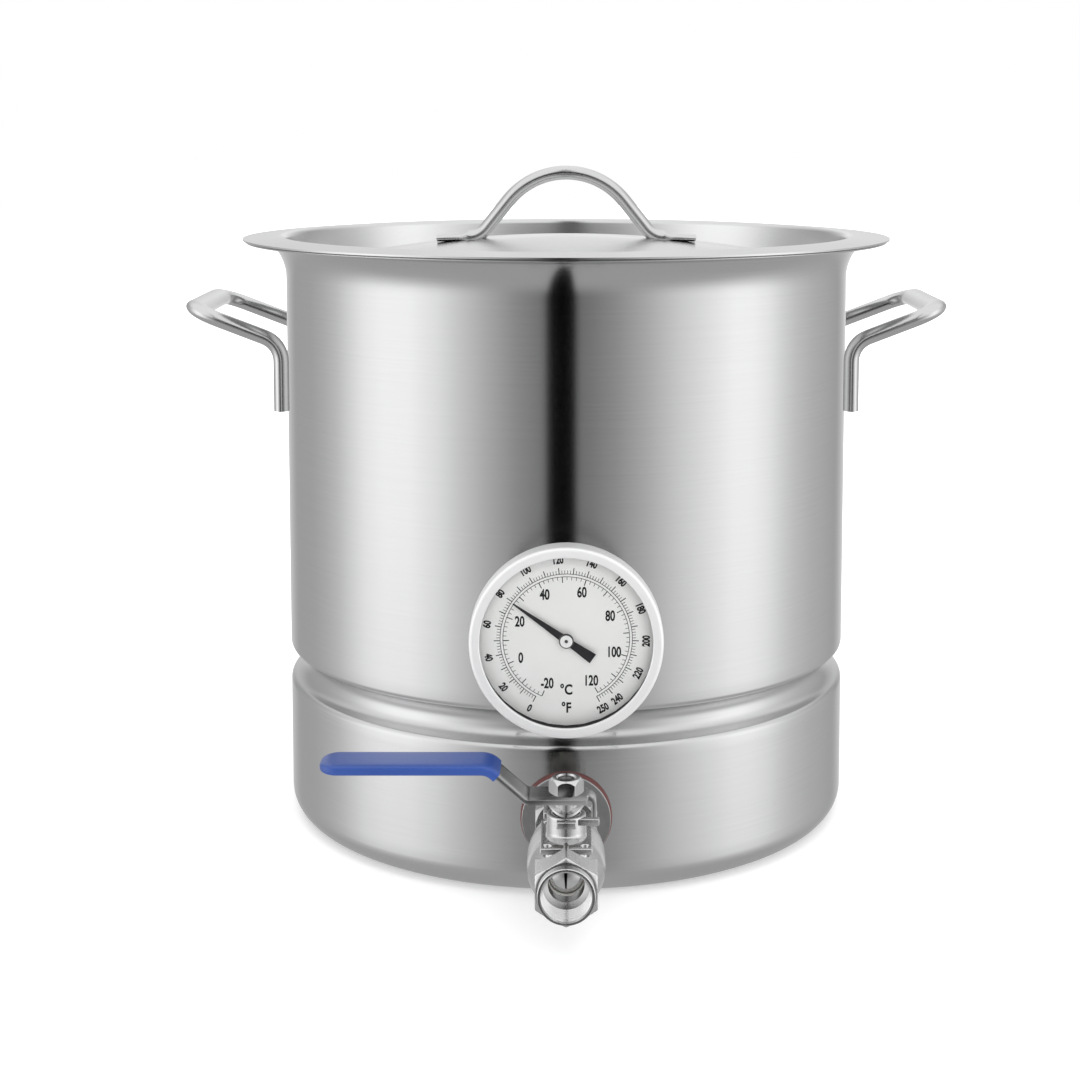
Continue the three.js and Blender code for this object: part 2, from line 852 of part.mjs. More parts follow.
// ---------- dial thermometer: case, dial, pointer and the probe that drives it ----------
const dial = wallFrame(dialHeight, 0);
const dialGasketFront = 2.8;
const dialWasherFront = dialGasketFront + gap + 1.4;
const hexBack = dialWasherFront + gap;
const hexFront = hexBack + 9;
const caseBack = hexFront + 2.5;
const caseWall = 1.2;
const caseRadius = 39.8;
const dialFace = caseBack + 4;
const glassBack = caseBack + 9;
const glassFront = glassBack + 2;
const bezelFront = glassFront + gap + 1.2;
const probeRadius = 3.2;
const probeBore = 2.6;
const probeTip = -78;
const spindleRadius = 0.8;
const pointerPlane = dialFace + 2.4;

piece(dial, "dial_gasket_outer", outerGasket(16, dialGasketFront), redSilicone);
piece(
  dial,
  "dial_washer_outer",
  ring(15, wallHole, dialGasketFront + gap, dialWasherFront),
  polishedSteel,
);
piece(
  dial,
  "dial_fitting",
  cut(
    join(
      rod(threadRadius, -14, hexBack + 1),
      hexBar(24, hexBack, hexFront, 1, 1),
      rod(7, hexFront - 1, caseBack - gap),
    ),
    rod(probeRadius + gap, -15, caseBack),
  ),
  castSteel,
);
piece(dial, "dial_gasket_inner", innerGasket(15, gasketBack), redSilicone);
piece(
  dial,
  "dial_locknut",
  cut(hexBar(26, gasketBack - gap - 6, gasketBack - gap, 0.8, 0.8), rod(locknutBore, -20, innerFace)),
  polishedSteel,
);
piece(
  dial,
  "probe_tube",
  turned(
    [
      [0, probeTip],
      [probeRadius - 1, probeTip],
      [probeRadius, probeTip + 1],
      [probeRadius, caseBack - 1],
      [probeBore, caseBack - 1],
      [probeBore, probeTip + 1],
      [0, probeTip + 1],
    ],
    16,
  ),
  polishedSteel,
);

// The bimetal coil is fixed at the probe's tip and turns the spindle as it warms.
function bimetalCoil() {
  const turns = 5;
  const coilRadius = 1.85;
  const coilFrom = probeTip + 3;
  const coilLength = 22;
  const steps = 8 * turns;
  const points = Array.from({ length: steps + 1 }, (_, i) => {
    const angle = (i / steps) * turns * 2 * Math.PI;
    const z = coilFrom + (coilLength * i) / steps;
    return new THREE.Vector3(coilRadius * Math.cos(angle), coilRadius * Math.sin(angle), z);
  });
  const half = 0.35;
  return swept(ovalSection(half, half, 4), new THREE.CatmullRomCurve3(points), steps);
}
piece(dial, "bimetal_coil", bimetalCoil(), castSteel);

const caseHoleRadius = 2.2;
piece(
  dial,
  "dial_case",
  turned(
    [
      [caseHoleRadius, caseBack],
      [caseRadius, caseBack],
      [caseRadius, glassBack - 2],
      [caseRadius - caseWall, glassBack - 2],
      [caseRadius - caseWall, caseBack + caseWall],
      [caseHoleRadius, caseBack + caseWall],
      [caseHoleRadius, caseBack],
    ],
    dialSides,
  ),
  polishedSteel,
);
piece(
  dial,
  "dial_plate",
  ring(caseRadius - caseWall - gap, caseHoleRadius, dialFace - 0.8, dialFace, dialSides),
  dialWhite,
);
const sealInner = 37.8;
piece(
  dial,
  "glass_gasket",
  ring(caseRadius, sealInner, glassBack - 2 + gap, glassBack - gap, dialSides),
  blackRubber,
);
piece(dial, "dial_glass", rod(caseRadius, glassBack, glassFront, dialSides), clearGlass);
const bezelRadius = 41.8;
const bezelLip = 37.2;
piece(
  dial,
  "dial_bezel",
  turned(
    [
      [caseRadius + gap, caseBack + 1],
      [bezelRadius, caseBack + 1],
      [bezelRadius, bezelFront - 1.2],
      [bezelRadius - 1, bezelFront],
      [bezelLip, bezelFront],
      [bezelLip, glassFront + gap],
      [caseRadius + gap, glassFront + gap],
      [caseRadius + gap, caseBack + 1],
    ],
    dialSides,
  ),
  brushedSteel,
);

// The pointer is drawn pointing up, then turned back to 80 degrees Fahrenheit.
const scaleSpan = 305; // degrees of arc for 250 degrees Fahrenheit
const restReading = 80;
const restTurn = THREE.MathUtils.degToRad((restReading / 250 - 0.5) * scaleSpan);
const needle = new THREE.Shape(
  [
    [-0.3, 28],
    [-1.6, 3],
    [-1.6, -3],
    [-2.4, -14],
    [2.4, -14],
    [1.6, -3],
    [1.6, 3],
    [0.3, 28],
  ].map(([x, y]) => new THREE.Vector2(x, y)),
);
const pointerFrame = new THREE.Group();
pointerFrame.rotation.z = -restTurn;
dial.add(pointerFrame);
piece(
  pointerFrame,
  "pointer",
  cut(plate(needle, pointerPlane, pointerPlane + 0.5), rod(spindleRadius + gap, 0, 40, 12)),
  pointerBlack,
);
piece(
  pointerFrame,
  "pointer_cap",
  turned(
    [
      [0, pointerPlane + 0.5 + gap],
      [3.2, pointerPlane + 0.5 + gap],
      [3.2, pointerPlane + 1.5],
      [2.4, pointerPlane + 2.1],
      [0, pointerPlane + 2.1],
    ],
    20,
  ),
  polishedSteel,
);
piece(
  pointerFrame,
  "pointer_spindle",
  rod(spindleRadius, probeTip + 26, pointerPlane + 0.5, 10),
  polishedSteel,
);

export default kettle;
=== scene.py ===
from math import asin, atan2, cos, degrees, hypot, pi, radians, sin, sqrt, tan

import bmesh
import bpy
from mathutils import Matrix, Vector


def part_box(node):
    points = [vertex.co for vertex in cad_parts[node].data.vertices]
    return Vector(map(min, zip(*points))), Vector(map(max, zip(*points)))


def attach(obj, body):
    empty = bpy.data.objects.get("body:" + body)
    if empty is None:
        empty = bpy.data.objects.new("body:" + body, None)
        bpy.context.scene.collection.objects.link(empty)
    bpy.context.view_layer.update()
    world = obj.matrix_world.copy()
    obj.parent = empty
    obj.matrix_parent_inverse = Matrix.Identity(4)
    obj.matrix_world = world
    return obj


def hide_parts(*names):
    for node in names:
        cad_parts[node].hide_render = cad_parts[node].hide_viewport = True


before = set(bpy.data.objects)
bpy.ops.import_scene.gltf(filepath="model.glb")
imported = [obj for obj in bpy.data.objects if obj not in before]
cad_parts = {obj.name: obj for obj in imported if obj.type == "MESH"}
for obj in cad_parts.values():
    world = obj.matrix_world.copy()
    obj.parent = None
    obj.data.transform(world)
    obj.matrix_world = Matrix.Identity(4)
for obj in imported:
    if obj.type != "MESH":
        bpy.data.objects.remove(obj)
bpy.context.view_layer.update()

# ---------------------------------------------------------------------------------------------
# The pot. One drawn stainless shell, brushed round its wall, with a rounded foot, a bead rolled
# in low down that carries the false bottom, and a rim flared out flat for the lid to lie on.
# ---------------------------------------------------------------------------------------------
shell_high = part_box("kettle_shell")[1]
pot_radius = 0.140
pot_sheet = 0.001
rim_radius = shell_high[0]
rim_height = shell_high[2]
foot_round = 0.012
flare_start = 0.269
flare_wide = 0.024
flare_lean = 40
bead_height = 0.077
bead_depth = 0.008
bead_shoulder = 0.003
bead_hollow = 0.0075


def arc(centre_r, centre_h, radius, start, end, count):
    """Points of an arc as (radius, height), from one angle to another in degrees."""
    turns = [radians(start + (end - start) * i / count) for i in range(count + 1)]
    return [(centre_r + radius * cos(t), centre_h + radius * sin(t)) for t in turns]


def level_run(start, end, count):
    """Evenly spaced points between two points of a profile, without the two ends."""
    return [
        tuple(a + (b - a) * i / count for a, b in zip(start, end)) for i in range(1, count)
    ]


def new_vertex(name, place):
    """Starts a piece as a single vertex in edit mode."""
    bpy.ops.object.select_all(action="DESELECT")
    bpy.ops.mesh.primitive_plane_add(size=0.001, location=(0, 0, 0))
    piece = bpy.context.object
    piece.name = piece.data.name = name
    bpy.ops.object.mode_set(mode="EDIT")
    bpy.ops.mesh.select_mode(type="VERT")
    bpy.ops.mesh.select_all(action="SELECT")
    bpy.ops.mesh.merge(type="CENTER")
    bpy.ops.transform.translate(value=place)
    return piece


def smooth(piece, angle=32):
    """Shades a piece smooth, apart from edges sharper than the angle."""
    bpy.ops.object.select_all(action="DESELECT")
    piece.select_set(True)
    bpy.context.view_layer.objects.active = piece
    bpy.ops.object.shade_smooth_by_angle(angle=radians(angle))
    return piece


def turned(name, profile, centre=(0, 0, 0), facing="up", steps=96, angle=32):
    """Spins a profile of (radius, height) points about its centre line, up or out to the front."""
    def place(point):
        r, h = point
        if facing == "up":
            return Vector((centre[0] + r, centre[1], centre[2] + h))
        return Vector((centre[0] + r, centre[1] - h, centre[2]))

    piece = new_vertex(name, place(profile[0]))
    for before, after in zip(profile, profile[1:]):
        step = place(after) - place(before)
        bpy.ops.mesh.extrude_vertices_move(TRANSFORM_OT_translate={"value": step})
    bpy.ops.mesh.select_all(action="SELECT")
    axis = (0, 0, 1) if facing == "up" else (0, 1, 0)
    bpy.ops.mesh.spin(steps=steps, angle=2 * pi, center=centre, axis=axis)
    bpy.ops.mesh.select_all(action="SELECT")
    bpy.ops.mesh.remove_doubles(threshold=0.000004)
    bpy.ops.mesh.normals_make_consistent(inside=False)
    bpy.ops.object.mode_set(mode="OBJECT")
    return smooth(piece, angle)


def bead_wall(inset):
    """The bead on one side of the sheet, from the bottom up; inset is that side's depth in it."""
    shoulder_r = pot_radius - bead_shoulder
    hollow_r = pot_radius - bead_depth + bead_hollow
    span = bead_shoulder + bead_hollow
    rise = sqrt(span ** 2 - (hollow_r - shoulder_r) ** 2)
    lean = degrees(atan2(rise, hollow_r - shoulder_r))
    return (
        arc(shoulder_r, bead_height - rise, bead_shoulder - inset, 0, lean, 6)
        + arc(hollow_r, bead_height, bead_hollow + inset, lean + 180, 180 - lean, 14)[1:-1]
        + arc(shoulder_r, bead_height + rise, bead_shoulder - inset, -lean, 0, 6)
    )


def flare(inset):
    """The mouth's spread on one side of the sheet: a wide sweep, then a tight one into the rim."""
    lean = radians(flare_lean)
    wide_r = pot_radius + flare_wide
    turn_r = wide_r - flare_wide * cos(lean)
    turn_h = flare_start + flare_wide * sin(lean)
    tight = (rim_height - pot_sheet - turn_h) / (1 - sin(lean))
    tight_r = turn_r + tight * cos(lean)
    tight_h = turn_h - tight * sin(lean)
    wide = arc(wide_r, flare_start, flare_wide + inset, 180, 180 - flare_lean, 10)
    return wide + arc(tight_r, tight_h, tight + inset, 180 - flare_lean, 90, 8)[1:]


def pot_wall(inset):
    """The pot's profile on one side of the sheet, from the foot to the flat rim."""
    radius = pot_radius - inset
    foot = arc(pot_radius - foot_round, foot_round, foot_round - inset, -90, 0, 8)
    bead = bead_wall(inset)
    return (
        foot
        + level_run((radius, foot_round), bead[0], 12)
        + bead
        + level_run(bead[-1], (radius, flare_start), 32)
        + flare(inset)
    )


def cut_with(piece, tool, operation="DIFFERENCE"):
    """Cuts, joins or keeps what is common with another shape, which is then thrown away."""
    bpy.ops.object.select_all(action="DESELECT")
    piece.select_set(True)
    bpy.context.view_layer.objects.active = piece
    bpy.ops.object.modifier_add(type="BOOLEAN")
    modifier = piece.modifiers[-1]
    modifier.operation = operation
    modifier.solver = "EXACT"
    modifier.object = tool
    bpy.ops.object.modifier_apply(modifier=modifier.name)
    bpy.data.objects.remove(tool, do_unlink=True)
    return piece


outside = [(0.0, 0.0), (0.05, 0.0), (0.1, 0.0)] + pot_wall(0)
rim = [
    (rim_radius - 0.0004, rim_height - pot_sheet),
    (rim_radius, rim_height - pot_sheet + 0.0004),
    (rim_radius, rim_height - 0.0004),
    (rim_radius - 0.0004, rim_height),
]
inside = pot_wall(pot_sheet)[::-1] + [(0.1, pot_sheet), (0.05, pot_sheet), (0.0, pot_sheet)]
pot = turned("pot", outside + rim + inside, steps=180, angle=40)
port_low, port_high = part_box("port_gasket_outer")
port_height = (port_low[2] + port_high[2]) / 2
bezel_low, bezel_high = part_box("dial_bezel")
dial_height = (bezel_low[2] + bezel_high[2]) / 2
for hole_height in (port_height, dial_height):
    drill = turned(
        "drill",
        [(0, -0.02), (0.0108, -0.02), (0.0108, 0.02), (0, 0.02)],
        centre=(0, -pot_radius, hole_height),
        facing="front",
        steps=32,
    )
    cut_with(pot, drill)
smooth(pot, 40)


class Wire:
    """One output of a material's nodes; sums, products and powers of wires make Math nodes."""

    def __init__(self, tree, socket=None):
        self.tree = tree
        self.socket = socket

    def node(self, kind, inputs=None, out=0, **settings):
        made = self.tree.nodes.new(kind)
        for name, value in settings.items():
            setattr(made, name, value)
        for key, value in (inputs or {}).items():
            if isinstance(value, Wire):
                self.tree.links.new(value.socket, made.inputs[key])
            else:
                made.inputs[key].default_value = value
        return Wire(self.tree, made.outputs[out])

    def maths(self, operation, *values):
        return self.node("ShaderNodeMath", dict(enumerate(values)), operation=operation)

    def __add__(self, other):
        return self.maths("ADD", self, other)

    def __sub__(self, other):
        return self.maths("SUBTRACT", self, other)

    def __mul__(self, other):
        return self.maths("MULTIPLY", self, other)

    def __truediv__(self, other):
        return self.maths("DIVIDE", self, other)

    def __pow__(self, other):
        return self.maths("POWER", self, other)

    def __rsub__(self, other):
        return self.maths("SUBTRACT", other, self)

    def __rtruediv__(self, other):
        return self.maths("DIVIDE", other, self)

    __radd__ = __add__
    __rmul__ = __mul__

    def limited(self):
        return self.node("ShaderNodeClamp", {0: self})

    def split(self):
        made = self.tree.nodes.new("ShaderNodeSeparateXYZ")
        self.tree.links.new(self.socket, made.inputs[0])
        return [Wire(self.tree, socket) for socket in made.outputs]

    def joined(self, x, y, z):
        return self.node("ShaderNodeCombineXYZ", {0: x, 1: y, 2: z})

    def noise(self, vector, scale=1.0, detail=2.0, roughness=0.5):
        values = {"Vector": vector, "Scale": scale, "Detail": detail, "Roughness": roughness}
        return self.node("ShaderNodeTexNoise", values)

    def blend(self, amount, first, second):
        values = {0: amount, 6: first, 7: second}
        return self.node("ShaderNodeMix", values, out=2, data_type="RGBA")

    def bump(self, height, strength, distance):
        values = {"Height": height, "Strength": strength, "Distance": distance}
        return self.node("ShaderNodeBump", values)


def new_finish(name, **constants):
    """A material with one Principled shader; returns it, the shader and a wire to build from."""
    material = bpy.data.materials.new(name)
    material.use_nodes = True
    tree = material.node_tree
    shader = tree.nodes["Principled BSDF"]
    for key, value in constants.items():
        shader.inputs[key.replace("_", " ")].default_value = value
    place = Wire(tree, tree.nodes.new("ShaderNodeTexCoord").outputs["Object"])
    return material, shader, place


def plug(shader, **wires):
    """Links wires to the shader's sockets."""
    for key, wire in wires.items():
        shader.id_data.links.new(wire.socket, shader.inputs[key.replace("_", " ")])


def sheet_steel(name, roughness, spread, tone=0.62):
    """Stainless sheet brushed in rings round the pot's centre line, with faint handling marks."""
    material, shader, place = new_finish(
        name, Metallic=1.0, Anisotropic=spread, Anisotropic_Rotation=0.25
    )
    x, y, z = place.split()
    radius = (x * x + y * y) ** 0.5
    across = z + radius * 1.37
    fine = place.noise(place.joined(x * 22, y * 22, across * 2300), detail=3.0)
    broad = place.noise(place.joined(x * 9, y * 9, across * 700), detail=2.0)
    cloud = place.noise(place, scale=14.0, detail=3.0)
    streak = fine * 0.75 + broad * 0.25
    light = tone + (streak - 0.5) * 0.07 + (cloud - 0.5) * 0.02
    plug(
        shader,
        Base_Color=place.joined(light, light * 1.003, light * 1.008),
        Roughness=roughness + (streak - 0.5) * 0.05 + (cloud - 0.5) * 0.02,
        Normal=place.bump(fine, 0.06, 0.00003),
    )
    return material


def dress(piece, body, slot, material, *nodes):
    """Gives a piece its material, the CAD body that it moves with and the solids it stands for."""
    piece.data.materials.clear()
    piece.data.materials.append(material)
    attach(piece, body)
    if nodes:
        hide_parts(*nodes)
    return piece


pot_steel = sheet_steel("brushed_pot_steel", 0.17, 1.0)
dress(pot, "kettle", "brushed_steel", pot_steel, "kettle_shell")

# ---------------------------------------------------------------------------------------------
# The side handles. Stainless strip rolled into an oval tube whose edges meet in an open seam on
# the inside of the loop, bent up and out, and spot welded to the wall down its two legs.
# ---------------------------------------------------------------------------------------------
right_low, right_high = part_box("handle_right")
handle_width = 0.0058
handle_thick = 0.0037
leg_spread = 0.0425
leg_foot = right_low[2]
bar_height = right_high[2] - 0.0040
bar_out = right_high[0] - 0.0056
leg_edge = leg_spread - handle_width
leg_out = sqrt(pot_radius ** 2 - leg_edge ** 2) + handle_thick - 0.0004
arm_slope = radians(21)
leg_bend = bar_height - tan(arm_slope) * (bar_out - leg_out)


def loop_of(name, points):
    """Starts a piece as a closed ring of edges through the points, all selected."""
    piece = new_vertex(name, points[0])
    for before, after in zip(points, points[1:]):
        step = Vector(after) - Vector(before)
        bpy.ops.mesh.extrude_vertices_move(TRANSFORM_OT_translate={"value": step})
    bpy.ops.mesh.select_all(action="DESELECT")
    edit = bmesh.from_edit_mesh(piece.data)
    edit.verts.ensure_lookup_table()
    edit.verts[0].select = edit.verts[len(points) - 1].select = True
    bmesh.update_edit_mesh(piece.data)
    bpy.ops.mesh.edge_face_add()
    bpy.ops.mesh.select_all(action="SELECT")
    return piece


def push(step):
    """Extrudes the selected ring straight on."""
    bpy.ops.mesh.extrude_region_move(TRANSFORM_OT_translate={"value": step})


def bend(angle, centre, axis, steps=8):
    """Extrudes the selected ring round a bend, right-handed about the axis."""
    bpy.ops.mesh.spin(steps=steps, angle=-angle, center=centre, axis=axis)


def close_ends(piece, angle=40):
    """Fills the open ends of a bar, turns its faces out and goes back to object mode."""
    bpy.ops.mesh.select_all(action="SELECT")
    bpy.ops.mesh.remove_doubles(threshold=0.000004)
    bpy.ops.mesh.fill_holes(sides=0)
    bpy.ops.mesh.normals_make_consistent(inside=False)
    bpy.ops.object.mode_set(mode="OBJECT")
    return smooth(piece, angle)


def select_faces(piece, test):
    """Selects the faces whose centre and normal pass a test, in edit mode."""
    bpy.ops.mesh.select_mode(type="FACE")
    bpy.ops.mesh.select_all(action="DESELECT")
    edit = bmesh.from_edit_mesh(piece.data)
    for face in edit.faces:
        if test(face.calc_center_median(), face.normal):
            face.select_set(True)
    bmesh.update_edit_mesh(piece.data)


def open_mode(piece):
    """Selects one piece alone and goes into edit mode."""
    bpy.ops.object.select_all(action="DESELECT")
    piece.select_set(True)
    bpy.context.view_layer.objects.active = piece
    bpy.ops.object.mode_set(mode="EDIT")
    bpy.ops.mesh.select_mode(type="VERT")


def rolled_section(centre):
    """The tube's oval section in a level plane, with its seam on the side away from the pot."""
    points = []
    for i in range(28):
        turn = 2 * pi * i / 28
        reach = 1.0 if i else 0.72
        x = handle_thick * reach * cos(turn)
        y = handle_width * sin(turn)
        points.append((centre[0] + x, centre[1] + y, centre[2]))
    return points


def side_handle(name):
    """A whole handle on the right of the pot: leg, arm, cross bar, arm and leg."""
    lean = pi / 2 - arm_slope
    heel = 0.0125
    corner = 0.0125
    heel_run = heel * tan(lean / 2)
    arm = (bar_out - leg_out) / cos(arm_slope)
    arm_straight = arm - heel_run - corner
    along = Vector((cos(arm_slope), 0, sin(arm_slope)))
    over = Vector((-sin(arm_slope), 0, cos(arm_slope)))
    piece = loop_of(name, rolled_section((leg_out, -leg_spread, leg_foot)))
    push((0, 0, leg_bend - heel_run - leg_foot))
    heel_centre = Vector((leg_out + heel, -leg_spread, leg_bend - heel_run))
    bend(lean, heel_centre, (0, 1, 0), 8)
    push(along * arm_straight)
    start = Vector((leg_out, -leg_spread, leg_bend)) + along * (heel_run + arm_straight)
    bend(pi / 2, start + Vector((0, corner, 0)), over, 8)
    push((0, 2 * (leg_spread - corner), 0))
    start = start + along * corner + Vector((0, 2 * leg_spread - corner, 0))
    bend(pi / 2, start - along * corner, over, 8)
    push(-along * arm_straight)
    heel_centre.y = leg_spread
    bend(-lean, heel_centre, (0, 1, 0), 8)
    push((0, 0, leg_foot - leg_bend + heel_run))
    close_ends(piece)
    open_mode(piece)
    select_faces(piece, lambda at, out: out.z < -0.9 and at.z < leg_foot + 0.001)
    bpy.ops.mesh.inset(thickness=0.0008, use_individual=True)
    bpy.ops.mesh.extrude_region_move(TRANSFORM_OT_translate={"value": (0, 0, 0.012)})
    bpy.ops.object.mode_set(mode="OBJECT")
    return smooth(piece, 40)


def bar_steel(name, roughness=0.22, tone=0.64):
    """Drawn stainless bar or tube: bright, with fine draw lines and small rubbed patches."""
    material, shader, place = new_finish(name, Metallic=1.0)
    grain = place.noise(place, scale=1500.0, detail=2.0)
    worn = place.noise(place, scale=90.0, detail=4.0, roughness=0.6)
    light = tone + (worn - 0.5) * 0.08 + (grain - 0.5) * 0.04
    plug(
        shader,
        Base_Color=place.joined(light, light * 1.002, light * 1.006),
        Roughness=roughness + (worn - 0.5) * 0.14 + (grain - 0.5) * 0.06,
        Normal=place.bump(worn + grain * 0.4, 0.1, 0.00006),
    )
    return material


handle_steel = bar_steel("handle_steel")
right_handle = side_handle("right_handle")
left_handle = right_handle.copy()
left_handle.data = right_handle.data.copy()
left_handle.name = left_handle.data.name = "left_handle"
bpy.context.collection.objects.link(left_handle)
open_mode(left_handle)
bpy.ops.mesh.select_all(action="SELECT")
bpy.ops.transform.rotate(value=pi, orient_axis="Z", center_override=(0, 0, 0))
bpy.ops.object.mode_set(mode="OBJECT")
dress(right_handle, "kettle", "brushed_steel", handle_steel, "handle_right")
dress(left_handle, "kettle", "brushed_steel", handle_steel, "handle_left")

# ---------------------------------------------------------------------------------------------
# The lid. A stainless pan pressed from one disc: a shallow dome, a channel that drops inside the
# pot's mouth, and a wide flange that falls a little to a thin edge lying on the rim.
# ---------------------------------------------------------------------------------------------
lid_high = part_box("lid_pan")[1]
lid_sheet = 0.0008
lid_gap = 0.0004
lid_radius = lid_high[0]
lid_edge = 0.2887
dome_top = 0.2888
dome_radius = 0.610
dome_edge = 0.116
channel_round = 0.005
shoulder_round = 0.006
slope_angle = 20
slope_length = 0.002
flange_fall = 4.2
mouth_round = 0.0032
mouth_r = 0.1432


def lid_face(under):
    """The lid's profile, from the middle out, some way under its top face."""
    dome_h = dome_top - dome_radius
    lean = atan2(dome_edge, sqrt(dome_radius ** 2 - dome_edge ** 2))
    slope = radians(slope_angle)
    shoulder_r = (dome_radius - shoulder_round) * sin(lean)
    shoulder_h = dome_h + (dome_radius - shoulder_round) * cos(lean)
    span = shoulder_round + channel_round
    channel_r = shoulder_r + span * cos(slope) + slope_length * sin(slope)
    channel_h = shoulder_h + span * sin(slope) - slope_length * cos(slope)
    wall_foot = pot_radius - pot_sheet - lid_gap - lid_sheet - channel_round
    fall = radians(flange_fall)
    mouth_h = lid_edge + (lid_radius - mouth_r) * tan(fall) - mouth_round / cos(fall)
    reach = hypot(mouth_r - wall_foot, mouth_h - channel_h)
    climb = atan2(mouth_h - channel_h, mouth_r - wall_foot)
    tilt = 90 - degrees(climb + asin((channel_round + mouth_round) / reach))
    channel_side = arc(wall_foot, channel_h, channel_round + under, 270, 360 - tilt, 8)
    mouth = arc(mouth_r, mouth_h, mouth_round - under, 180 - tilt, 90 - flange_fall, 10)
    edge = (lid_radius, lid_edge - under / cos(fall))
    shoulder_lean = 90 - degrees(lean)
    return (
        arc(0, dome_h, dome_radius - under, 90, shoulder_lean, 24)
        + arc(shoulder_r, shoulder_h, shoulder_round - under, shoulder_lean, slope_angle, 10)[1:]
        + arc(channel_r, channel_h, channel_round + under, 180 + slope_angle, 270, 8)
        + channel_side
        + level_run(channel_side[-1], mouth[0], 4)
        + mouth
        + level_run(mouth[-1], edge, 5)
        + [edge]
    )


lid = turned("lid", lid_face(lid_sheet) + lid_face(0)[::-1], steps=180, angle=40)
lid_steel = sheet_steel("brushed_lid_steel", 0.24, 0.7, tone=0.66)
dress(lid, "lid", "brushed_steel", lid_steel, "lid_pan")

# ---------------------------------------------------------------------------------------------
# The lid's grab handle. A stainless bar bent into an arch, its two feet pressed flat on the dome
# and spot welded through.
# ---------------------------------------------------------------------------------------------
grip_width = 0.0057
grip_thick = 0.0035
grip_foot = 0.065
grip_knee = 0.0437
grip_peak = 0.3429
arch_round = 0.0373
knee_round = 0.012
foot_thick = 0.0018


def dome_height(radius):
    return dome_top - dome_radius + sqrt(dome_radius ** 2 - radius ** 2)


def flat_oval(centre, width, thick, count=28):
    """An oval section that stands across the lid, facing along X."""
    turns = [2 * pi * (i + 0.5) / count for i in range(count)]
    return [(centre[0], centre[1] + width * cos(t), centre[2] + thick * sin(t)) for t in turns]


def squash_ring(width, thick, centre):
    """Scales the selected ring to a new width and thickness."""
    bpy.ops.transform.resize(value=(1, width, thick), center_override=centre)


lay = 0.0003
foot_height = dome_height(grip_foot) + lay + foot_thick
knee_height = dome_height(grip_knee) + lay + 0.0005
knee_lean = atan2(grip_peak - knee_height, grip_knee)
foot_lean = atan2(knee_height - foot_height, grip_foot - grip_knee)
knee_turn = knee_lean - foot_lean
knee_run = knee_round * tan(knee_turn / 2)
rise = Vector((cos(knee_lean), 0, sin(knee_lean)))
flat = Vector((cos(foot_lean), 0, sin(foot_lean)))
knee = Vector((-grip_knee, 0, knee_height))
knee_in = knee - flat * knee_run
foot_start = Vector((-grip_foot, 0, foot_height))
lid_handle = loop_of("lid_grab_handle", flat_oval(foot_start, 0.0066, foot_thick))
flat_part = (knee_in - foot_start) * 0.72
push(flat_part)
ease = (knee_in - foot_start - flat_part) / 4
here = foot_start + flat_part
for step in range(4):
    push(ease)
    here = here + ease
    squash_ring((grip_width / 0.0066) ** 0.25, (grip_thick / foot_thick) ** 0.25, here)
knee_centre = knee_in + Vector((-flat.z, 0, flat.x)) * knee_round
bend(-knee_turn, knee_centre, (0, 1, 0), 8)
peak_run = arch_round * tan(knee_lean)
peak = Vector((0, 0, grip_peak))
leg_length = (peak - knee).length
push(rise * (leg_length - knee_run - peak_run))
arch_start = knee + rise * (leg_length - peak_run)
arch_centre = arch_start + Vector((rise.z, 0, -rise.x)) * arch_round
bend(2 * knee_lean, arch_centre, (0, 1, 0), 24)
fall = Vector((rise.x, 0, -rise.z))
push(fall * (leg_length - knee_run - peak_run))
far_centre = Vector((-knee_centre.x, 0, knee_centre.z))
bend(-knee_turn, far_centre, (0, 1, 0), 8)
down = Vector((ease.x, 0, -ease.z))
here = Vector((-knee_in.x, 0, knee_in.z))
for step in range(4):
    push(down)
    here = here + down
    squash_ring((0.0066 / grip_width) ** 0.25, (foot_thick / grip_thick) ** 0.25, here)
push(Vector((flat_part.x, 0, -flat_part.z)))
close_ends(lid_handle)
dress(lid_handle, "lid", "brushed_steel", bar_steel("lid_handle_steel", 0.2), "lid_handle")

# ---------------------------------------------------------------------------------------------
# The drain port. A cast nipple screws through the wall; a hexagon collar and a steel washer press
# a red silicone ring on the outside, and a ring and a locknut inside hold them.
# ---------------------------------------------------------------------------------------------
port = (0, -pot_radius, port_height)
wall_hole = 0.0108
thread_radius = 0.0102
port_bore = 0.0075


def ring_profile(outer, inner, start, end, ease):
    """A flat ring's closed section, with its outer edges eased."""
    return [
        (inner, start),
        (outer - ease, start),
        (outer, start + ease),
        (outer, end - ease),
        (outer - ease, end),
        (inner, end),
        (inner, start),
    ]


def threaded(radius, depth, pitch, start, end):
    """The zigzag side of a screw thread, from one height to another."""
    count = max(1, round((end - start) / pitch))
    step = (end - start) / count
    points = []
    for i in range(count):
        base = start + i * step
        points += [(radius, base + step * 0.1), (radius, base + step * 0.2)]
        points += [(radius - depth, base + step * 0.55), (radius - depth, base + step * 0.7)]
    return points + [(radius, end)]


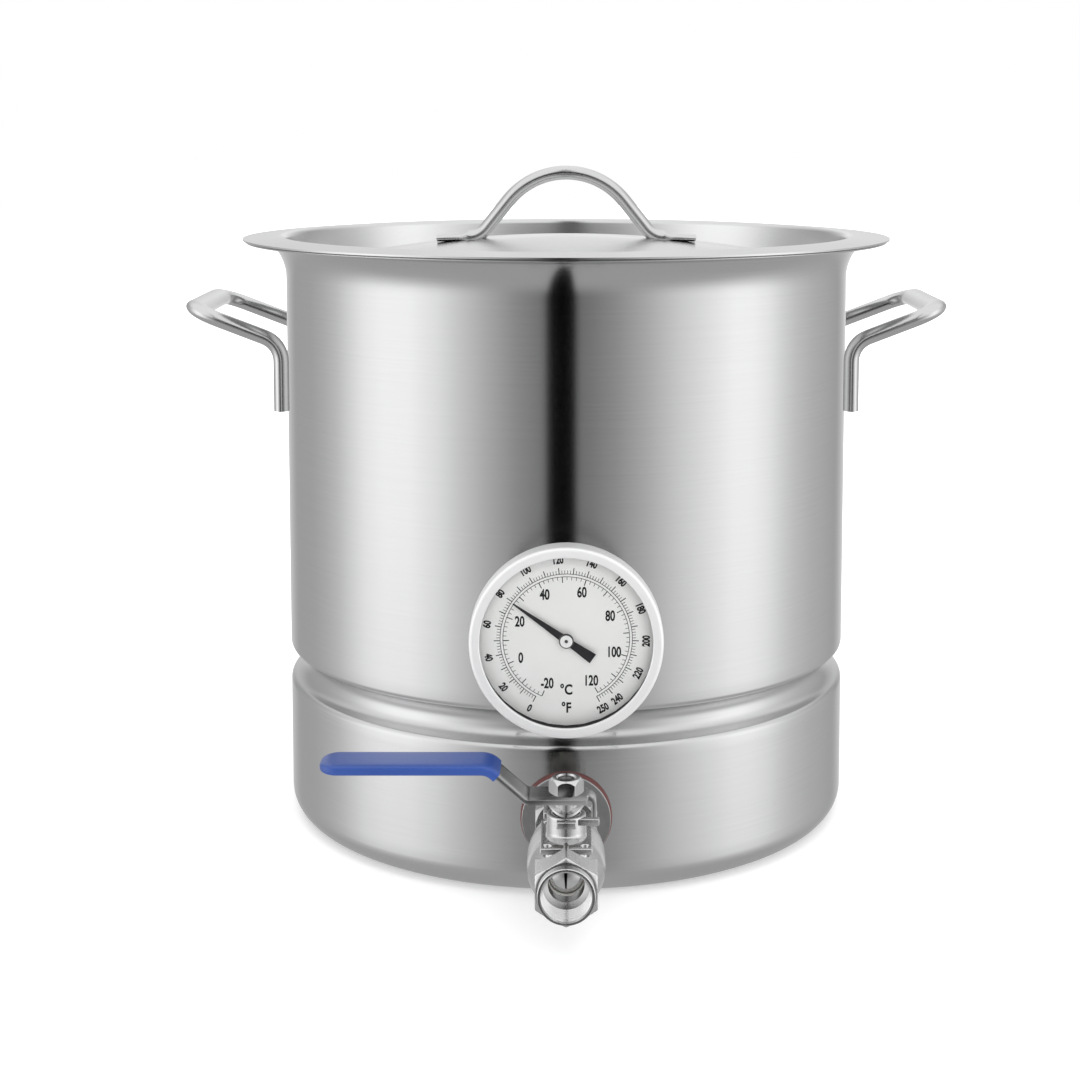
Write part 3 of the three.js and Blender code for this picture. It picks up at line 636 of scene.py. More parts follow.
def hex_bar(name, across, start, end, centre, facing, ease_start=0.0, ease_end=0.0):
    """A hexagon bar on a centre line, a corner upwards or to the front, its corners turned off."""
    corner = across / sqrt(3)
    middle = (start + end) / 2
    if facing == "up":
        place, tilt = (centre[0], centre[1], centre[2] + middle), (0, 0, 0)
    else:
        place, tilt = (centre[0], centre[1] - middle, centre[2]), (pi / 2, 0, 0)
    bpy.ops.object.select_all(action="DESELECT")
    bpy.ops.mesh.primitive_cylinder_add(
        vertices=6, radius=corner, depth=end - start, location=place, rotation=tilt
    )
    piece = bpy.context.object
    piece.name = piece.data.name = name
    bpy.ops.object.transform_apply(location=True, rotation=True, scale=True)
    bpy.ops.object.modifier_add(type="BEVEL")
    piece.modifiers[-1].width = 0.00025
    piece.modifiers[-1].segments = 2
    bpy.ops.object.modifier_apply(modifier=piece.modifiers[-1].name)
    crown = across / 2 - 0.0002
    clear = corner + 0.0002
    shape = [(0, start - 0.0001)]
    if ease_start:
        shape += [(crown, start - 0.0001), (clear, start + ease_start)]
    else:
        shape += [(clear, start - 0.0001)]
    if ease_end:
        shape += [(clear, end - ease_end), (crown, end + 0.0001)]
    else:
        shape += [(clear, end + 0.0001)]
    tool = turned("crown", shape + [(0, end + 0.0001)], centre, facing, 64)
    return smooth(cut_with(piece, tool, "INTERSECT"), 25)


def soft_rubber(name, colour, roughness=0.55):
    """Moulded silicone or rubber: faintly mottled, slightly waxy, with fine dust."""
    material, shader, place = new_finish(name)
    mottle = place.noise(place, scale=160.0, detail=4.0)
    dust = place.noise(place, scale=2200.0, detail=2.0)
    dark = tuple(part * 0.8 for part in colour) + (1,)
    plug(
        shader,
        Base_Color=place.blend(mottle, dark, tuple(colour) + (1,)),
        Roughness=roughness + (dust - 0.5) * 0.2,
        Normal=place.bump(dust, 0.2, 0.00004),
    )
    return material


def turned_steel(name, roughness=0.16, tone=0.66):
    """Machined stainless: bright, with faint tool rings and small bright scratches."""
    material, shader, place = new_finish(name, Metallic=1.0)
    fine = place.noise(place, scale=2600.0, detail=2.0)
    marks = place.noise(place, scale=220.0, detail=5.0, roughness=0.65)
    light = tone + (marks - 0.5) * 0.10
    plug(
        shader,
        Base_Color=place.joined(light, light * 1.003, light * 1.008),
        Roughness=roughness + (marks - 0.5) * 0.12 + (fine - 0.5) * 0.06,
        Normal=place.bump(marks + fine * 0.3, 0.08, 0.00005),
    )
    return material


red_silicone = soft_rubber("red_silicone", (0.13, 0.036, 0.033))
polished = turned_steel("polished_steel")
machined = turned_steel("machined_steel", 0.26, 0.58)
port_seal = turned("port_seal", ring_profile(0.0204, wall_hole, -0.0013, 0.0033, 0.0006), port, "front")
dress(port_seal, "kettle", "silicone", red_silicone, "port_gasket_outer")
port_washer = turned(
    "port_washer", ring_profile(0.0198, wall_hole, 0.0036, 0.0051, 0.0002), port, "front"
)
washer_steel = turned_steel("washer_steel", 0.42, 0.5)
dress(port_washer, "kettle", "polished_steel", washer_steel, "port_washer_outer")
nipple = turned(
    "port_nipple_thread",
    [(port_bore, -0.017)]
    + threaded(thread_radius, 0.0008, 0.0018, -0.017, 0.040)
    + [(port_bore, 0.040), (port_bore, -0.017)],
    port,
    "front",
    angle=20,
)
collar = hex_bar("collar", 0.027, 0.0054, 0.0164, port, "front", 0.0012, 0.0012)
bore_tool = turned("bore_tool", [(0, 0), (0.0095, 0), (0.0095, 0.03), (0, 0.03)], port, "front", 64)
cut_with(collar, bore_tool)
cut_with(nipple, collar, "UNION")
smooth(nipple, 25)
dress(nipple, "kettle", "cast_steel", machined, "port_nipple")

# ---------------------------------------------------------------------------------------------
# The valve's end cap and body. Two stainless investment castings, blasted, screwed together round
# the ball; their edges are soft from the mould and only the threads and faces are machined.
# ---------------------------------------------------------------------------------------------
body_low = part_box("valve_body")[0]
ball_low, ball_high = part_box("valve_ball")
ball_y = (ball_low[1] + ball_high[1]) / 2
valve = (0, ball_y, port_height)
outlet_reach = ball_y - body_low[1]
cap_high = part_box("valve_end_cap")[1]
cap_reach = cap_high[1] - ball_y


def block(name, width, depth, height, place, ease):
    """A block with eased edges."""
    bpy.ops.object.select_all(action="DESELECT")
    bpy.ops.mesh.primitive_cube_add(size=1, location=place, scale=(width, depth, height))
    piece = bpy.context.object
    piece.name = piece.data.name = name
    bpy.ops.object.transform_apply(location=True, rotation=True, scale=True)
    bpy.ops.object.modifier_add(type="BEVEL")
    piece.modifiers[-1].width = ease
    piece.modifiers[-1].segments = 3
    bpy.ops.object.modifier_apply(modifier=piece.modifiers[-1].name)
    return piece


def as_cast(piece, grain, rounds):
    """Runs a joined shape together into one skin and softens its corners, as a mould does."""
    bpy.ops.object.select_all(action="DESELECT")
    piece.select_set(True)
    bpy.context.view_layer.objects.active = piece
    bpy.ops.object.modifier_add(type="REMESH")
    piece.modifiers[-1].mode = "VOXEL"
    piece.modifiers[-1].voxel_size = grain
    bpy.ops.object.modifier_apply(modifier=piece.modifiers[-1].name)
    bpy.ops.object.modifier_add(type="SMOOTH")
    piece.modifiers[-1].factor = 0.5
    piece.modifiers[-1].iterations = rounds
    bpy.ops.object.modifier_apply(modifier=piece.modifiers[-1].name)
    return piece


def cast_steel(name):
    """Blasted cast stainless: satin grey, pebbled, brighter where it is handled."""
    material, shader, place = new_finish(name, Metallic=1.0)
    pebble = place.noise(place, scale=1100.0, detail=3.0, roughness=0.6)
    cloud = place.noise(place, scale=120.0, detail=3.0)
    light = 0.68 + (cloud - 0.5) * 0.14 + (pebble - 0.5) * 0.12
    plug(
        shader,
        Base_Color=place.joined(light, light, light * 1.005),
        Roughness=0.24 + (pebble - 0.5) * 0.16 + (cloud - 0.5) * 0.08,
        Normal=place.bump(pebble, 0.25, 0.0001),
    )
    return material


casting = cast_steel("cast_stainless")
end_cap = hex_bar("valve_cap", 0.025, -cap_reach, -0.0219, valve, "front", 0.0016, 0)
flange = turned(
    "flange",
    [(0, -0.0245), (0.0122, -0.0245), (0.0122, -0.0232), (0.0152, -0.0226), (0.0152, -0.0192)]
    + [(0.0148, -0.0189), (0.0128, -0.0189), (0.0128, -0.0127), (0, -0.0127)],
    valve,
    "front",
    64,
)
cut_with(end_cap, flange, "UNION")
as_cast(end_cap, 0.0005, 3)
cap_bore = turned(
    "cap_bore",
    [(0, -cap_reach - 0.001), (0.0106, -cap_reach - 0.001), (0.0103, -cap_reach + 0.0093)]
    + [(port_bore, -cap_reach + 0.0093), (port_bore, 0), (0, 0)],
    valve,
    "front",
    48,
)
cut_with(end_cap, cap_bore)
smooth(end_cap, 30)
dress(end_cap, "kettle", "cast_steel", casting, "valve_end_cap")

barrel = [(0, -0.0174), (0.0154, -0.0174), (0.0160, -0.0168), (0.0164, -0.011), (0.0164, 0.003)]
barrel += [(0.0158, 0.0072), (0.0148, 0.0105), (0.0134, 0.0145), (0.012, 0.0175), (0, 0.0185)]
valve_body = turned("valve_casting", barrel, valve, "front", 72)
outlet = hex_bar("outlet", 0.0254, 0.010, outlet_reach - 0.004, valve, "front", 0, 0.0012)
neck_top = 0.0232
neck = turned("neck", [(0, 0.005), (0.0082, 0.005), (0.0082, neck_top), (0, neck_top)], valve, "up", 48)
pad_root = block("pad_root", 0.017, 0.0325, 0.006, (0, ball_y, port_height + 0.0094), 0.001)
for lump in (outlet, neck, pad_root):
    cut_with(valve_body, lump, "UNION")
as_cast(valve_body, 0.00042, 2)
lug_height = port_height + 0.0212
pad = block("pad", 0.0214, 0.034, 0.0026, (0, ball_y, port_height + 0.0127), 0.0005)
front_stop = block("stop", 0.0095, 0.0034, 0.0028, (0.0089, ball_y - 0.0049, lug_height), 0.0004)
back_stop = block("stop", 0.0032, 0.013, 0.0028, (-0.0079, ball_y + 0.0072, lug_height), 0.0004)
side_lug = block("lug", 0.008, 0.004, 0.0028, (0, ball_y - 0.0086, lug_height), 0.0004)
outlet_ring = turned(
    "outlet_ring",
    [(0, outlet_reach - 0.006), (0.0118, outlet_reach - 0.006), (0.0118, outlet_reach - 0.0003)]
    + [(0.0115, outlet_reach), (0, outlet_reach)],
    valve,
    "front",
    72,
)
for lump in (pad, front_stop, back_stop, side_lug, outlet_ring):
    cut_with(valve_body, lump, "UNION")
outlet_tool = turned(
    "outlet_tool",
    [(0, -0.0005), (port_bore, -0.0005), (port_bore, outlet_reach - 0.0135)]
    + [(0.0092, outlet_reach - 0.0127)]
    + threaded(0.0104, 0.0008, 0.0018, outlet_reach - 0.0125, outlet_reach - 0.0012)
    + [(0.0109, outlet_reach + 0.0006), (0, outlet_reach + 0.0006)],
    valve,
    "front",
    72,
)
cut_with(valve_body, outlet_tool)
cavity = turned(
    "cavity", [(0, -0.02), (0.0131, -0.02), (0.0131, 0.0129), (0, 0.0129)], valve, "front", 48
)
cut_with(valve_body, cavity)
stem_tool = turned(
    "stem_tool",
    [(0, 0.002), (0.0058, 0.002), (0.0058, 0.0160), (0.0043, 0.0160), (0.0043, 0.0172)]
    + [(0.0062, 0.0172), (0.0062, 0.0245), (0, 0.0245)],
    valve,
    "up",
    40,
)
cut_with(valve_body, stem_tool)
for pad_x in (-0.00775, 0.00775):
    for pad_y in (-0.0135, 0.0135):
        pad_hole = turned(
            "pad_hole",
            [(0, 0.009), (0.0018, 0.009), (0.0018, 0.0137), (0.0022, 0.0142), (0, 0.0142)],
            (pad_x, ball_y + pad_y, port_height),
            "up",
            20,
        )
        cut_with(valve_body, pad_hole)
smooth(valve_body, 30)
dress(valve_body, "kettle", "cast_steel", casting, "valve_body")

# ---------------------------------------------------------------------------------------------
# The ball. A hard chromed, polished ball with a bore through it and a slot on top for the stem;
# closed, its blind side faces the outlet between two plastic seats.
# ---------------------------------------------------------------------------------------------
bpy.ops.object.select_all(action="DESELECT")
bpy.ops.mesh.primitive_uv_sphere_add(segments=64, ring_count=40, radius=0.0125, location=valve)
ball = bpy.context.object
ball.name = ball.data.name = "polished_ball"
bpy.ops.object.transform_apply(location=True, rotation=True, scale=True)
bpy.ops.object.select_all(action="DESELECT")
bpy.ops.mesh.primitive_cylinder_add(
    vertices=48, radius=port_bore, depth=0.04, location=valve, rotation=(0, pi / 2, 0)
)
cut_with(ball, bpy.context.object)
cut_with(ball, block("slot", 0.0036, 0.03, 0.01, (0, ball_y, port_height + 0.0136), 0.0002))
smooth(ball, 30)
dress(ball, "valve_lever", "polished_steel", turned_steel("ball_chrome", 0.06, 0.72), "valve_ball")

# ---------------------------------------------------------------------------------------------
# The stem's packing nut, wave washer, lever and top nut. The nut squeezes the packing round the
# stem, the wave washer keeps it tight, and the lever sits on the stem's flats under a domed nut.
# ---------------------------------------------------------------------------------------------
strip_low, strip_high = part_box("lever_strip")
nut_low, nut_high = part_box("lever_nut")
gland = turned(
    "gland_nut",
    [(0.0043, 0.0205), (0.0059, 0.0205), (0.0059, 0.0228), (0.0057, 0.0230), (0.0043, 0.0230)]
    + [(0.0043, 0.0205)],
    valve,
    "up",
    64,
)
cut_with(gland, block("slot", 0.02, 0.0016, 0.002, (0, ball_y, port_height + 0.0230), 0.0001))
smooth(gland, 25)
dress(gland, "kettle", "polished_steel", polished, "packing_nut")

wave_foot = port_height + 0.0257
wave_washer = turned(
    "wave_washer",
    [(0.0045, 0), (0.0062, 0), (0.0079, 0), (0.0079, 0.001), (0.0062, 0.001), (0.0045, 0.001)]
    + [(0.0045, 0)],
    (0, ball_y, wave_foot),
    "up",
    72,
)
open_mode(wave_washer)
edit = bmesh.from_edit_mesh(wave_washer.data)
for corner_point in edit.verts:
    turn = atan2(corner_point.co.y - ball_y, corner_point.co.x)
    corner_point.co.z += 0.0019 * cos(2 * turn)
bmesh.update_edit_mesh(wave_washer.data)
bpy.ops.object.mode_set(mode="OBJECT")
dress(wave_washer, "valve_lever", "polished_steel", polished, "spring_washer")

strip_thick = 0.0022
strip_half = 0.0087
hub_height = port_height + 0.0303
grip_height = port_height + 0.0440
rise_start = -0.0165
rise_end = -0.0320
tab_out = strip_high[0] - strip_thick / 2
tab_foot = strip_low[2]
tab_front = ball_y - 0.0030
tab_back = ball_y + 0.0060
fold = 0.0028


def rounded_line(corners, radii, count=6):
    """Points along a bent line in the XZ plane, its inner corners rounded."""
    points = [Vector(corners[0])]
    for i, corner in enumerate(corners[1:-1]):
        corner = Vector(corner)
        back = (Vector(corners[i]) - corner).normalized()
        on = (Vector(corners[i + 2]) - corner).normalized()
        opening = back.angle(on)
        run = radii[i] / tan(opening / 2)
        centre = corner + (back + on).normalized() * (radii[i] / sin(opening / 2))
        start = corner + back * run - centre
        end = corner + on * run - centre
        sweep = start.angle(end)
        for step in range(count + 1):
            part = step / count
            spot = (start * sin((1 - part) * sweep) + end * sin(part * sweep)) / sin(sweep)
            points.append(centre + spot)
    return points + [Vector(corners[-1])]


lever_path = rounded_line(
    [(tab_out - fold, 0, hub_height), (rise_start, 0, hub_height), (rise_end, 0, grip_height)]
    + [(-0.090, 0, grip_height)],
    [0.004, 0.006],
)
lever_strip = new_vertex("lever", lever_path[0] + Vector((0, ball_y - strip_half, 0)))
for before, after in zip(lever_path, lever_path[1:]):
    bpy.ops.mesh.extrude_vertices_move(TRANSFORM_OT_translate={"value": after - before})
bpy.ops.mesh.select_all(action="SELECT")
bpy.ops.mesh.select_mode(type="EDGE")
for row in (tab_front - ball_y + strip_half, tab_back - tab_front, strip_half - tab_back + ball_y):
    bpy.ops.mesh.extrude_region_move(TRANSFORM_OT_translate={"value": (0, row, 0)})
bpy.ops.mesh.select_all(action="DESELECT")
edit = bmesh.from_edit_mesh(lever_strip.data)
for edge in edit.edges:
    middle = (edge.verts[0].co + edge.verts[1].co) / 2
    if middle.x > tab_out - fold - 0.0001 and abs(middle.y - (tab_front + tab_back) / 2) < 0.001:
        edge.select_set(True)
bmesh.update_edit_mesh(lever_strip.data)
bend(pi / 2, (tab_out - fold, ball_y, hub_height - fold), (0, 1, 0), 6)
push((0, 0, tab_foot - hub_height + fold))
bpy.ops.object.mode_set(mode="OBJECT")
bpy.ops.object.modifier_add(type="SOLIDIFY")
lever_strip.modifiers[-1].thickness = strip_thick
lever_strip.modifiers[-1].offset = 0
bpy.ops.object.modifier_apply(modifier=lever_strip.modifiers[-1].name)
bpy.ops.object.modifier_add(type="BEVEL")
lever_strip.modifiers[-1].width = 0.00035
lever_strip.modifiers[-1].segments = 2
lever_strip.modifiers[-1].limit_method = "ANGLE"
lever_strip.modifiers[-1].angle_limit = radians(50)
bpy.ops.object.modifier_apply(modifier=lever_strip.modifiers[-1].name)
smooth(lever_strip, 35)
dress(lever_strip, "valve_lever", "brushed_steel", bar_steel("lever_steel", 0.24, 0.6), "lever_strip")

grip_box_low, grip_box_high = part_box("lever_grip")
sleeve_half = (grip_box_high[1] - grip_box_low[1]) / 2
sleeve_thick = 0.0024
sleeve_tip = grip_box_low[0]
sleeve_start = grip_box_high[0] - 0.0006


def sleeve_section(centre, count=32):
    """A flat rounded section that faces along X."""
    points = []
    for i in range(count):
        t = 2 * pi * (i + 0.5) / count
        y = sleeve_half * (abs(cos(t)) ** 0.28) * (1 if cos(t) > 0 else -1)
        z = sleeve_thick * (abs(sin(t)) ** 0.5) * (1 if sin(t) > 0 else -1)
        points.append((centre[0], centre[1] + y, centre[2] + z))
    return points


climb = atan2(grip_height - hub_height, rise_start - rise_end)
sleeve_low = hub_height + (rise_start - sleeve_start) * tan(climb)
sleeve = loop_of("lever_sleeve", sleeve_section((sleeve_start, ball_y, sleeve_low)))
bpy.ops.transform.rotate(
    value=-climb, orient_axis="Y", center_override=(sleeve_start, ball_y, sleeve_low)
)
sleeve_bend = 0.008
sleeve_run = sleeve_bend * tan(climb / 2)
climb_way = Vector((-cos(climb), 0, sin(climb)))
climb_left = (sleeve_start - rise_end) / cos(climb) - sleeve_run
push(climb_way * max(climb_left, 0.0005))
bend_start = Vector((rise_end, ball_y, grip_height)) - climb_way * sleeve_run
bend_centre = bend_start + Vector((-sin(climb), 0, -cos(climb))) * sleeve_bend
bend(-climb, bend_centre, (0, 1, 0), 8)
tip_round = 0.0075
level_start = rise_end - sleeve_run
for part in range(4):
    push(((sleeve_tip + tip_round - level_start) / 4, 0, 0))
here = Vector((sleeve_tip + tip_round, ball_y, grip_height))
turns = [radians(9 * i) for i in range(10)]
for before, after in zip(turns, turns[1:]):
    step = (sin(after) - sin(before)) * tip_round
    push((-step, 0, 0))
    here.x -= step
    wide = (sleeve_half - tip_round + tip_round * cos(after))
    wide /= sleeve_half - tip_round + tip_round * cos(before)
    thin = (0.3 + 0.7 * cos(after)) / (0.3 + 0.7 * cos(before))
    squash_ring(wide, thin, here)
close_ends(sleeve, 50)


def dipped_vinyl(name):
    """Dipped soft vinyl: deep blue, semi-gloss, faintly uneven where it ran off and is rubbed."""
    material, shader, place = new_finish(name, Coat_Weight=0.25, Coat_Roughness=0.18)
    flow = place.noise(place, scale=60.0, detail=3.0)
    dust = place.noise(place, scale=1800.0, detail=2.0)
    colour = place.blend(flow, (0.012, 0.045, 0.21, 1), (0.018, 0.06, 0.27, 1))
    plug(
        shader,
        Base_Color=colour,
        Roughness=0.34 + (dust - 0.5) * 0.14 + (flow - 0.5) * 0.1,
        Normal=place.bump(flow + dust * 0.15, 0.2, 0.0002),
    )
    return material


dress(sleeve, "valve_lever", "blue_vinyl", dipped_vinyl("blue_dipped_vinyl"), "lever_grip")

nut_foot = nut_low[2] - port_height
nut_top = nut_high[2] - port_height
top_nut = hex_bar("domed_nut", 0.0127, nut_foot, nut_top, valve, "up", 0.0007, 0.0)
open_mode(top_nut)
bpy.ops.mesh.select_all(action="SELECT")
bpy.ops.transform.rotate(value=pi / 6, orient_axis="Z", center_override=valve)
bpy.ops.object.mode_set(mode="OBJECT")
crown = turned(
    "crown",
    [(0, 0.03), (0.0077, 0.03), (0.0077, nut_top - 0.0030)]
    + [(0.0073, nut_top - 0.0020), (0.0066, nut_top - 0.0009), (0.0057, nut_top - 0.0001)]
    + [(0.0052, nut_top), (0, nut_top)],
    valve,
    "up",
    64,
)
cut_with(top_nut, crown, "INTERSECT")
nut_bore = turned("nut_bore", [(0, 0.02), (0.0043, 0.02), (0.0043, 0.04), (0, 0.04)], valve, "up", 40)
cut_with(top_nut, nut_bore)
smooth(top_nut, 25)
dress(top_nut, "valve_lever", "polished_steel", polished, "lever_nut")
stem_end = turned(
    "stem_end",
    [(0, 0.0128), (0.0054, 0.0128), (0.0054, 0.0143), (0.0040, 0.0144), (0.0040, 0.030)]
    + threaded(0.0041, 0.0003, 0.001, 0.0305, 0.0372)
    + [(0.0035, 0.0378), (0.0012, 0.0378), (0.0, 0.0372)],
    valve,
    "up",
    40,
)
dress(stem_end, "valve_lever", "polished_steel", machined, "valve_stem")

# ---------------------------------------------------------------------------------------------
# The thermometer's fitting. A machined hexagon adapter screws through the wall behind a silicone
# ring and a steel washer, and carries the round case on its short neck.
# ---------------------------------------------------------------------------------------------
dial = (0, -pot_radius, dial_height)
case_low, case_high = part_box("dial_case")
case_back = -pot_radius - case_high[1]
dial_seal = turned("dial_seal", ring_profile(0.016, wall_hole, -0.0006, 0.0028, 0.0006), dial, "front")
dress(dial_seal, "kettle", "silicone", red_silicone, "dial_gasket_outer")
dial_washer = turned(
    "dial_washer", ring_profile(0.015, wall_hole, 0.0031, 0.0045, 0.0002), dial, "front"
)
dress(dial_washer, "kettle", "polished_steel", polished, "dial_washer_outer")
adapter = turned(
    "dial_adapter",
    [(0.0035, -0.014)]
    + threaded(thread_radius, 0.0008, 0.0018, -0.014, 0.0058)
    + [(0.007, 0.0058), (0.007, case_back - 0.0003), (0.0035, case_back - 0.0003)]
    + [(0.0035, -0.014)],
    dial,
    "front",
    64,
    20,
)
cut_with(adapter, hex_bar("adapter_hex", 0.024, 0.0048, 0.0138, dial, "front", 0.001, 0.001), "UNION")
cut_with(
    adapter,
    turned("adapter_bore", [(0, -0.015), (0.0035, -0.015), (0.0035, 0.02), (0, 0.02)], dial, "front", 40),
)
smooth(adapter, 25)
dress(adapter, "kettle", "cast_steel", machined, "dial_fitting")

# ---------------------------------------------------------------------------------------------
# The case and bezel. A deep-drawn stainless cup, and a satin ring rolled over its edge that holds
# the glass down on a black rubber ring. The cup's inside is coloured near black as painted shade.
# ---------------------------------------------------------------------------------------------
glass_low, glass_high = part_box("dial_glass")
case_radius = (case_high[0] - case_low[0]) / 2
bezel_radius = bezel_high[0]
glass_back = -pot_radius - glass_high[1]
glass_front = -pot_radius - glass_low[1]
bezel_front = -pot_radius - bezel_low[1]
bezel_lip = 0.0372
case_wall = 0.0012
case = turned(
    "dial_cup",
    [(0.0022, case_back)]
    + arc(case_radius - 0.004, case_back + 0.004, 0.004, -90, 0, 8)
    + [(case_radius, glass_back - 0.002), (case_radius - case_wall, glass_back - 0.002)]
    + arc(case_radius - 0.004, case_back + 0.004, 0.004 - case_wall, 0, -90, 6)
    + [(0.0022, case_back + case_wall), (0.0022, case_back)],
    dial,
    "front",
)
cup_finish, cup_shader, cup_place = new_finish("drawn_cup_steel")
cup_x, cup_y, cup_z = cup_place.split()
cup_reach = (cup_x * cup_x + (cup_z - dial_height) * (cup_z - dial_height)) ** 0.5
# Painted shade: the cup's inside wall and floor are coloured near black and made non-metallic, standing in
# for the shadow under the bezel.
painted_shade_inside_cup = ((case_radius - 0.0007 - cup_reach) * 8000.0).limited()
painted_shade_inside_cup = painted_shade_inside_cup * ((cup_y + pot_radius + case_back + 0.0009) * -8000.0).limited()
cup_grain = cup_place.noise(cup_place, scale=900.0, detail=3.0)
plug(
    cup_shader,
    Base_Color=cup_place.blend(painted_shade_inside_cup, (0.66, 0.66, 0.665, 1), (0.012, 0.012, 0.012, 1)),
    Metallic=1.0 - painted_shade_inside_cup,
    Roughness=0.2 + painted_shade_inside_cup * 0.4 + (cup_grain - 0.5) * 0.08,
)
dress(case, "kettle", "polished_steel", cup_finish, "dial_case")
bezel = turned(
    "dial_rim",
    [(case_radius + 0.0003, case_back + 0.001)]
    + arc(bezel_radius - 0.0005, case_back + 0.0015, 0.0005, -90, 0, 4)
    + arc(bezel_radius - 0.0016, bezel_front - 0.0016, 0.0016, 0, 90, 8)
    + arc(bezel_lip + 0.0006, bezel_front - 0.0006, 0.0006, 90, 180, 5)
    + [(bezel_lip, glass_front + 0.0003), (case_radius + 0.0003, glass_front + 0.0003)]
    + [(case_radius + 0.0003, case_back + 0.001)],
    dial,
    "front",
    128,
)


def satin_steel(name):
    """Satin-blasted stainless: pale, fine grained, with hardly any glints."""
    material, shader, place = new_finish(name, Metallic=0.6)
    grain = place.noise(place, scale=3200.0, detail=2.0)
    cloud = place.noise(place, scale=70.0, detail=3.0)
    light = 0.8 + (grain - 0.5) * 0.06 + (cloud - 0.5) * 0.04
    plug(
        shader,
        Base_Color=place.joined(light, light, light * 1.004),
        Roughness=0.5 + (grain - 0.5) * 0.12,
        Normal=place.bump(grain, 0.15, 0.00003),
    )
    return material


dress(bezel, "kettle", "brushed_steel", satin_steel("satin_bezel"), "dial_bezel")

# ---------------------------------------------------------------------------------------------
# The glass. A flat float-glass disc under the bezel's lip, clear, with eased edges.
# ---------------------------------------------------------------------------------------------
glass = turned(
    "dial_window",
    [(0, glass_back), (case_radius - 0.0003, glass_back), (case_radius, glass_back + 0.0003)]
    + [(case_radius, glass_front - 0.0003), (case_radius - 0.0003, glass_front), (0, glass_front)],
    dial,
    "front",
)
glass_finish = bpy.data.materials.new("clear_glass")
glass_finish.use_nodes = True
glass_tree = glass_finish.node_tree
glass_tree.nodes.remove(glass_tree.nodes["Principled BSDF"])
glass_place = Wire(glass_tree, glass_tree.nodes.new("ShaderNodeTexCoord").outputs["Object"])
smear = glass_place.noise(glass_place, scale=40.0, detail=4.0)
clear = glass_place.node("ShaderNodeBsdfTransparent", {"Color": (0.985, 0.987, 0.985, 1)})
gloss = glass_place.node("ShaderNodeBsdfGlossy", {"Roughness": 0.02 + smear * 0.03})
mirror = glass_place.node("ShaderNodeFresnel", {"IOR": 1.45}) * 0.9
glass_mix = glass_place.node("ShaderNodeMixShader", {0: mirror, 1: clear, 2: gloss})
glass_tree.links.new(glass_mix.socket, glass_tree.nodes["Material Output"].inputs["Surface"])
dress(glass, "kettle", "clear_glass", glass_finish, "dial_glass")

# ---------------------------------------------------------------------------------------------
# The dial's print. Black ink on the pale plate: a Fahrenheit scale outside a double line and a
# Celsius scale inside it, both over the same arc, with their numbers and unit signs.
# ---------------------------------------------------------------------------------------------
plate_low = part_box("dial_plate")[0]
ink_y = plate_low[1] - 0.00005
scale_arc = 305.0
outer_line = 0.0284
inner_line = 0.0274
dial_point = (0, ink_y, dial_height)


def fahrenheit_angle(reading):
    """Clockwise angle from the top, in degrees."""
    return (reading / 250 - 0.5) * scale_arc


def celsius_angle(reading):
    return fahrenheit_angle(reading * 1.8 + 32)


def fan_of_ticks(name, first, last, count, start, end, width):
    """One short line of ink, repeated at even steps from one angle to another."""
    bpy.ops.object.select_all(action="DESELECT")
    bpy.ops.mesh.primitive_plane_add(
        size=1, location=(0, ink_y, dial_height + (start + end) / 2), rotation=(pi / 2, 0, 0)
    )
    piece = bpy.context.object
    piece.name = piece.data.name = name
    piece.scale = (width, end - start, 1)
    bpy.ops.object.transform_apply(location=True, rotation=True, scale=True)
    bpy.ops.object.mode_set(mode="EDIT")
    bpy.ops.mesh.select_all(action="SELECT")
    bpy.ops.transform.rotate(
        value=-radians(first), orient_axis="Y", center_override=dial_point
    )
    bpy.ops.mesh.spin(
        steps=count, angle=-radians(last - first), center=dial_point, axis=(0, 1, 0), dupli=True
    )
    bpy.ops.object.mode_set(mode="OBJECT")
    return piece


def line_of_ink(name, radius, first, last, width):
    """A thin arc of ink."""
    piece = new_vertex(name, (0, ink_y, dial_height + radius))
    bpy.ops.mesh.extrude_vertices_move(TRANSFORM_OT_translate={"value": (0, 0, width)})
    bpy.ops.mesh.select_all(action="SELECT")
    bpy.ops.transform.rotate(
        value=-radians(first), orient_axis="Y", center_override=dial_point
    )
    bend(radians(last - first), dial_point, (0, 1, 0), 120)
    bpy.ops.object.mode_set(mode="OBJECT")
    return piece


def lettering(words, radius, angle, size, upright, squeeze=0.8):
    """A number or sign on the dial, centred at a radius and clockwise angle."""
    turn = radians(angle)
    place = (radius * sin(turn), ink_y, dial_height + radius * cos(turn))
    tilt = 0 if upright else turn
    if not upright and abs(angle) > 90:
        tilt = turn + pi
    bpy.ops.object.select_all(action="DESELECT")
    bpy.ops.object.text_add(location=place, rotation=(pi / 2, tilt, 0))
    piece = bpy.context.object
    piece.data.body = words
    piece.data.size = size
    piece.data.resolution_u = 4
    piece.data.offset = 0.0002
    piece.data.align_x = "CENTER"
    piece.data.align_y = "CENTER"
    piece.scale.x = squeeze
    bpy.ops.object.convert(target="MESH")
    bpy.ops.object.transform_apply(location=True, rotation=True, scale=True)
    return bpy.context.object


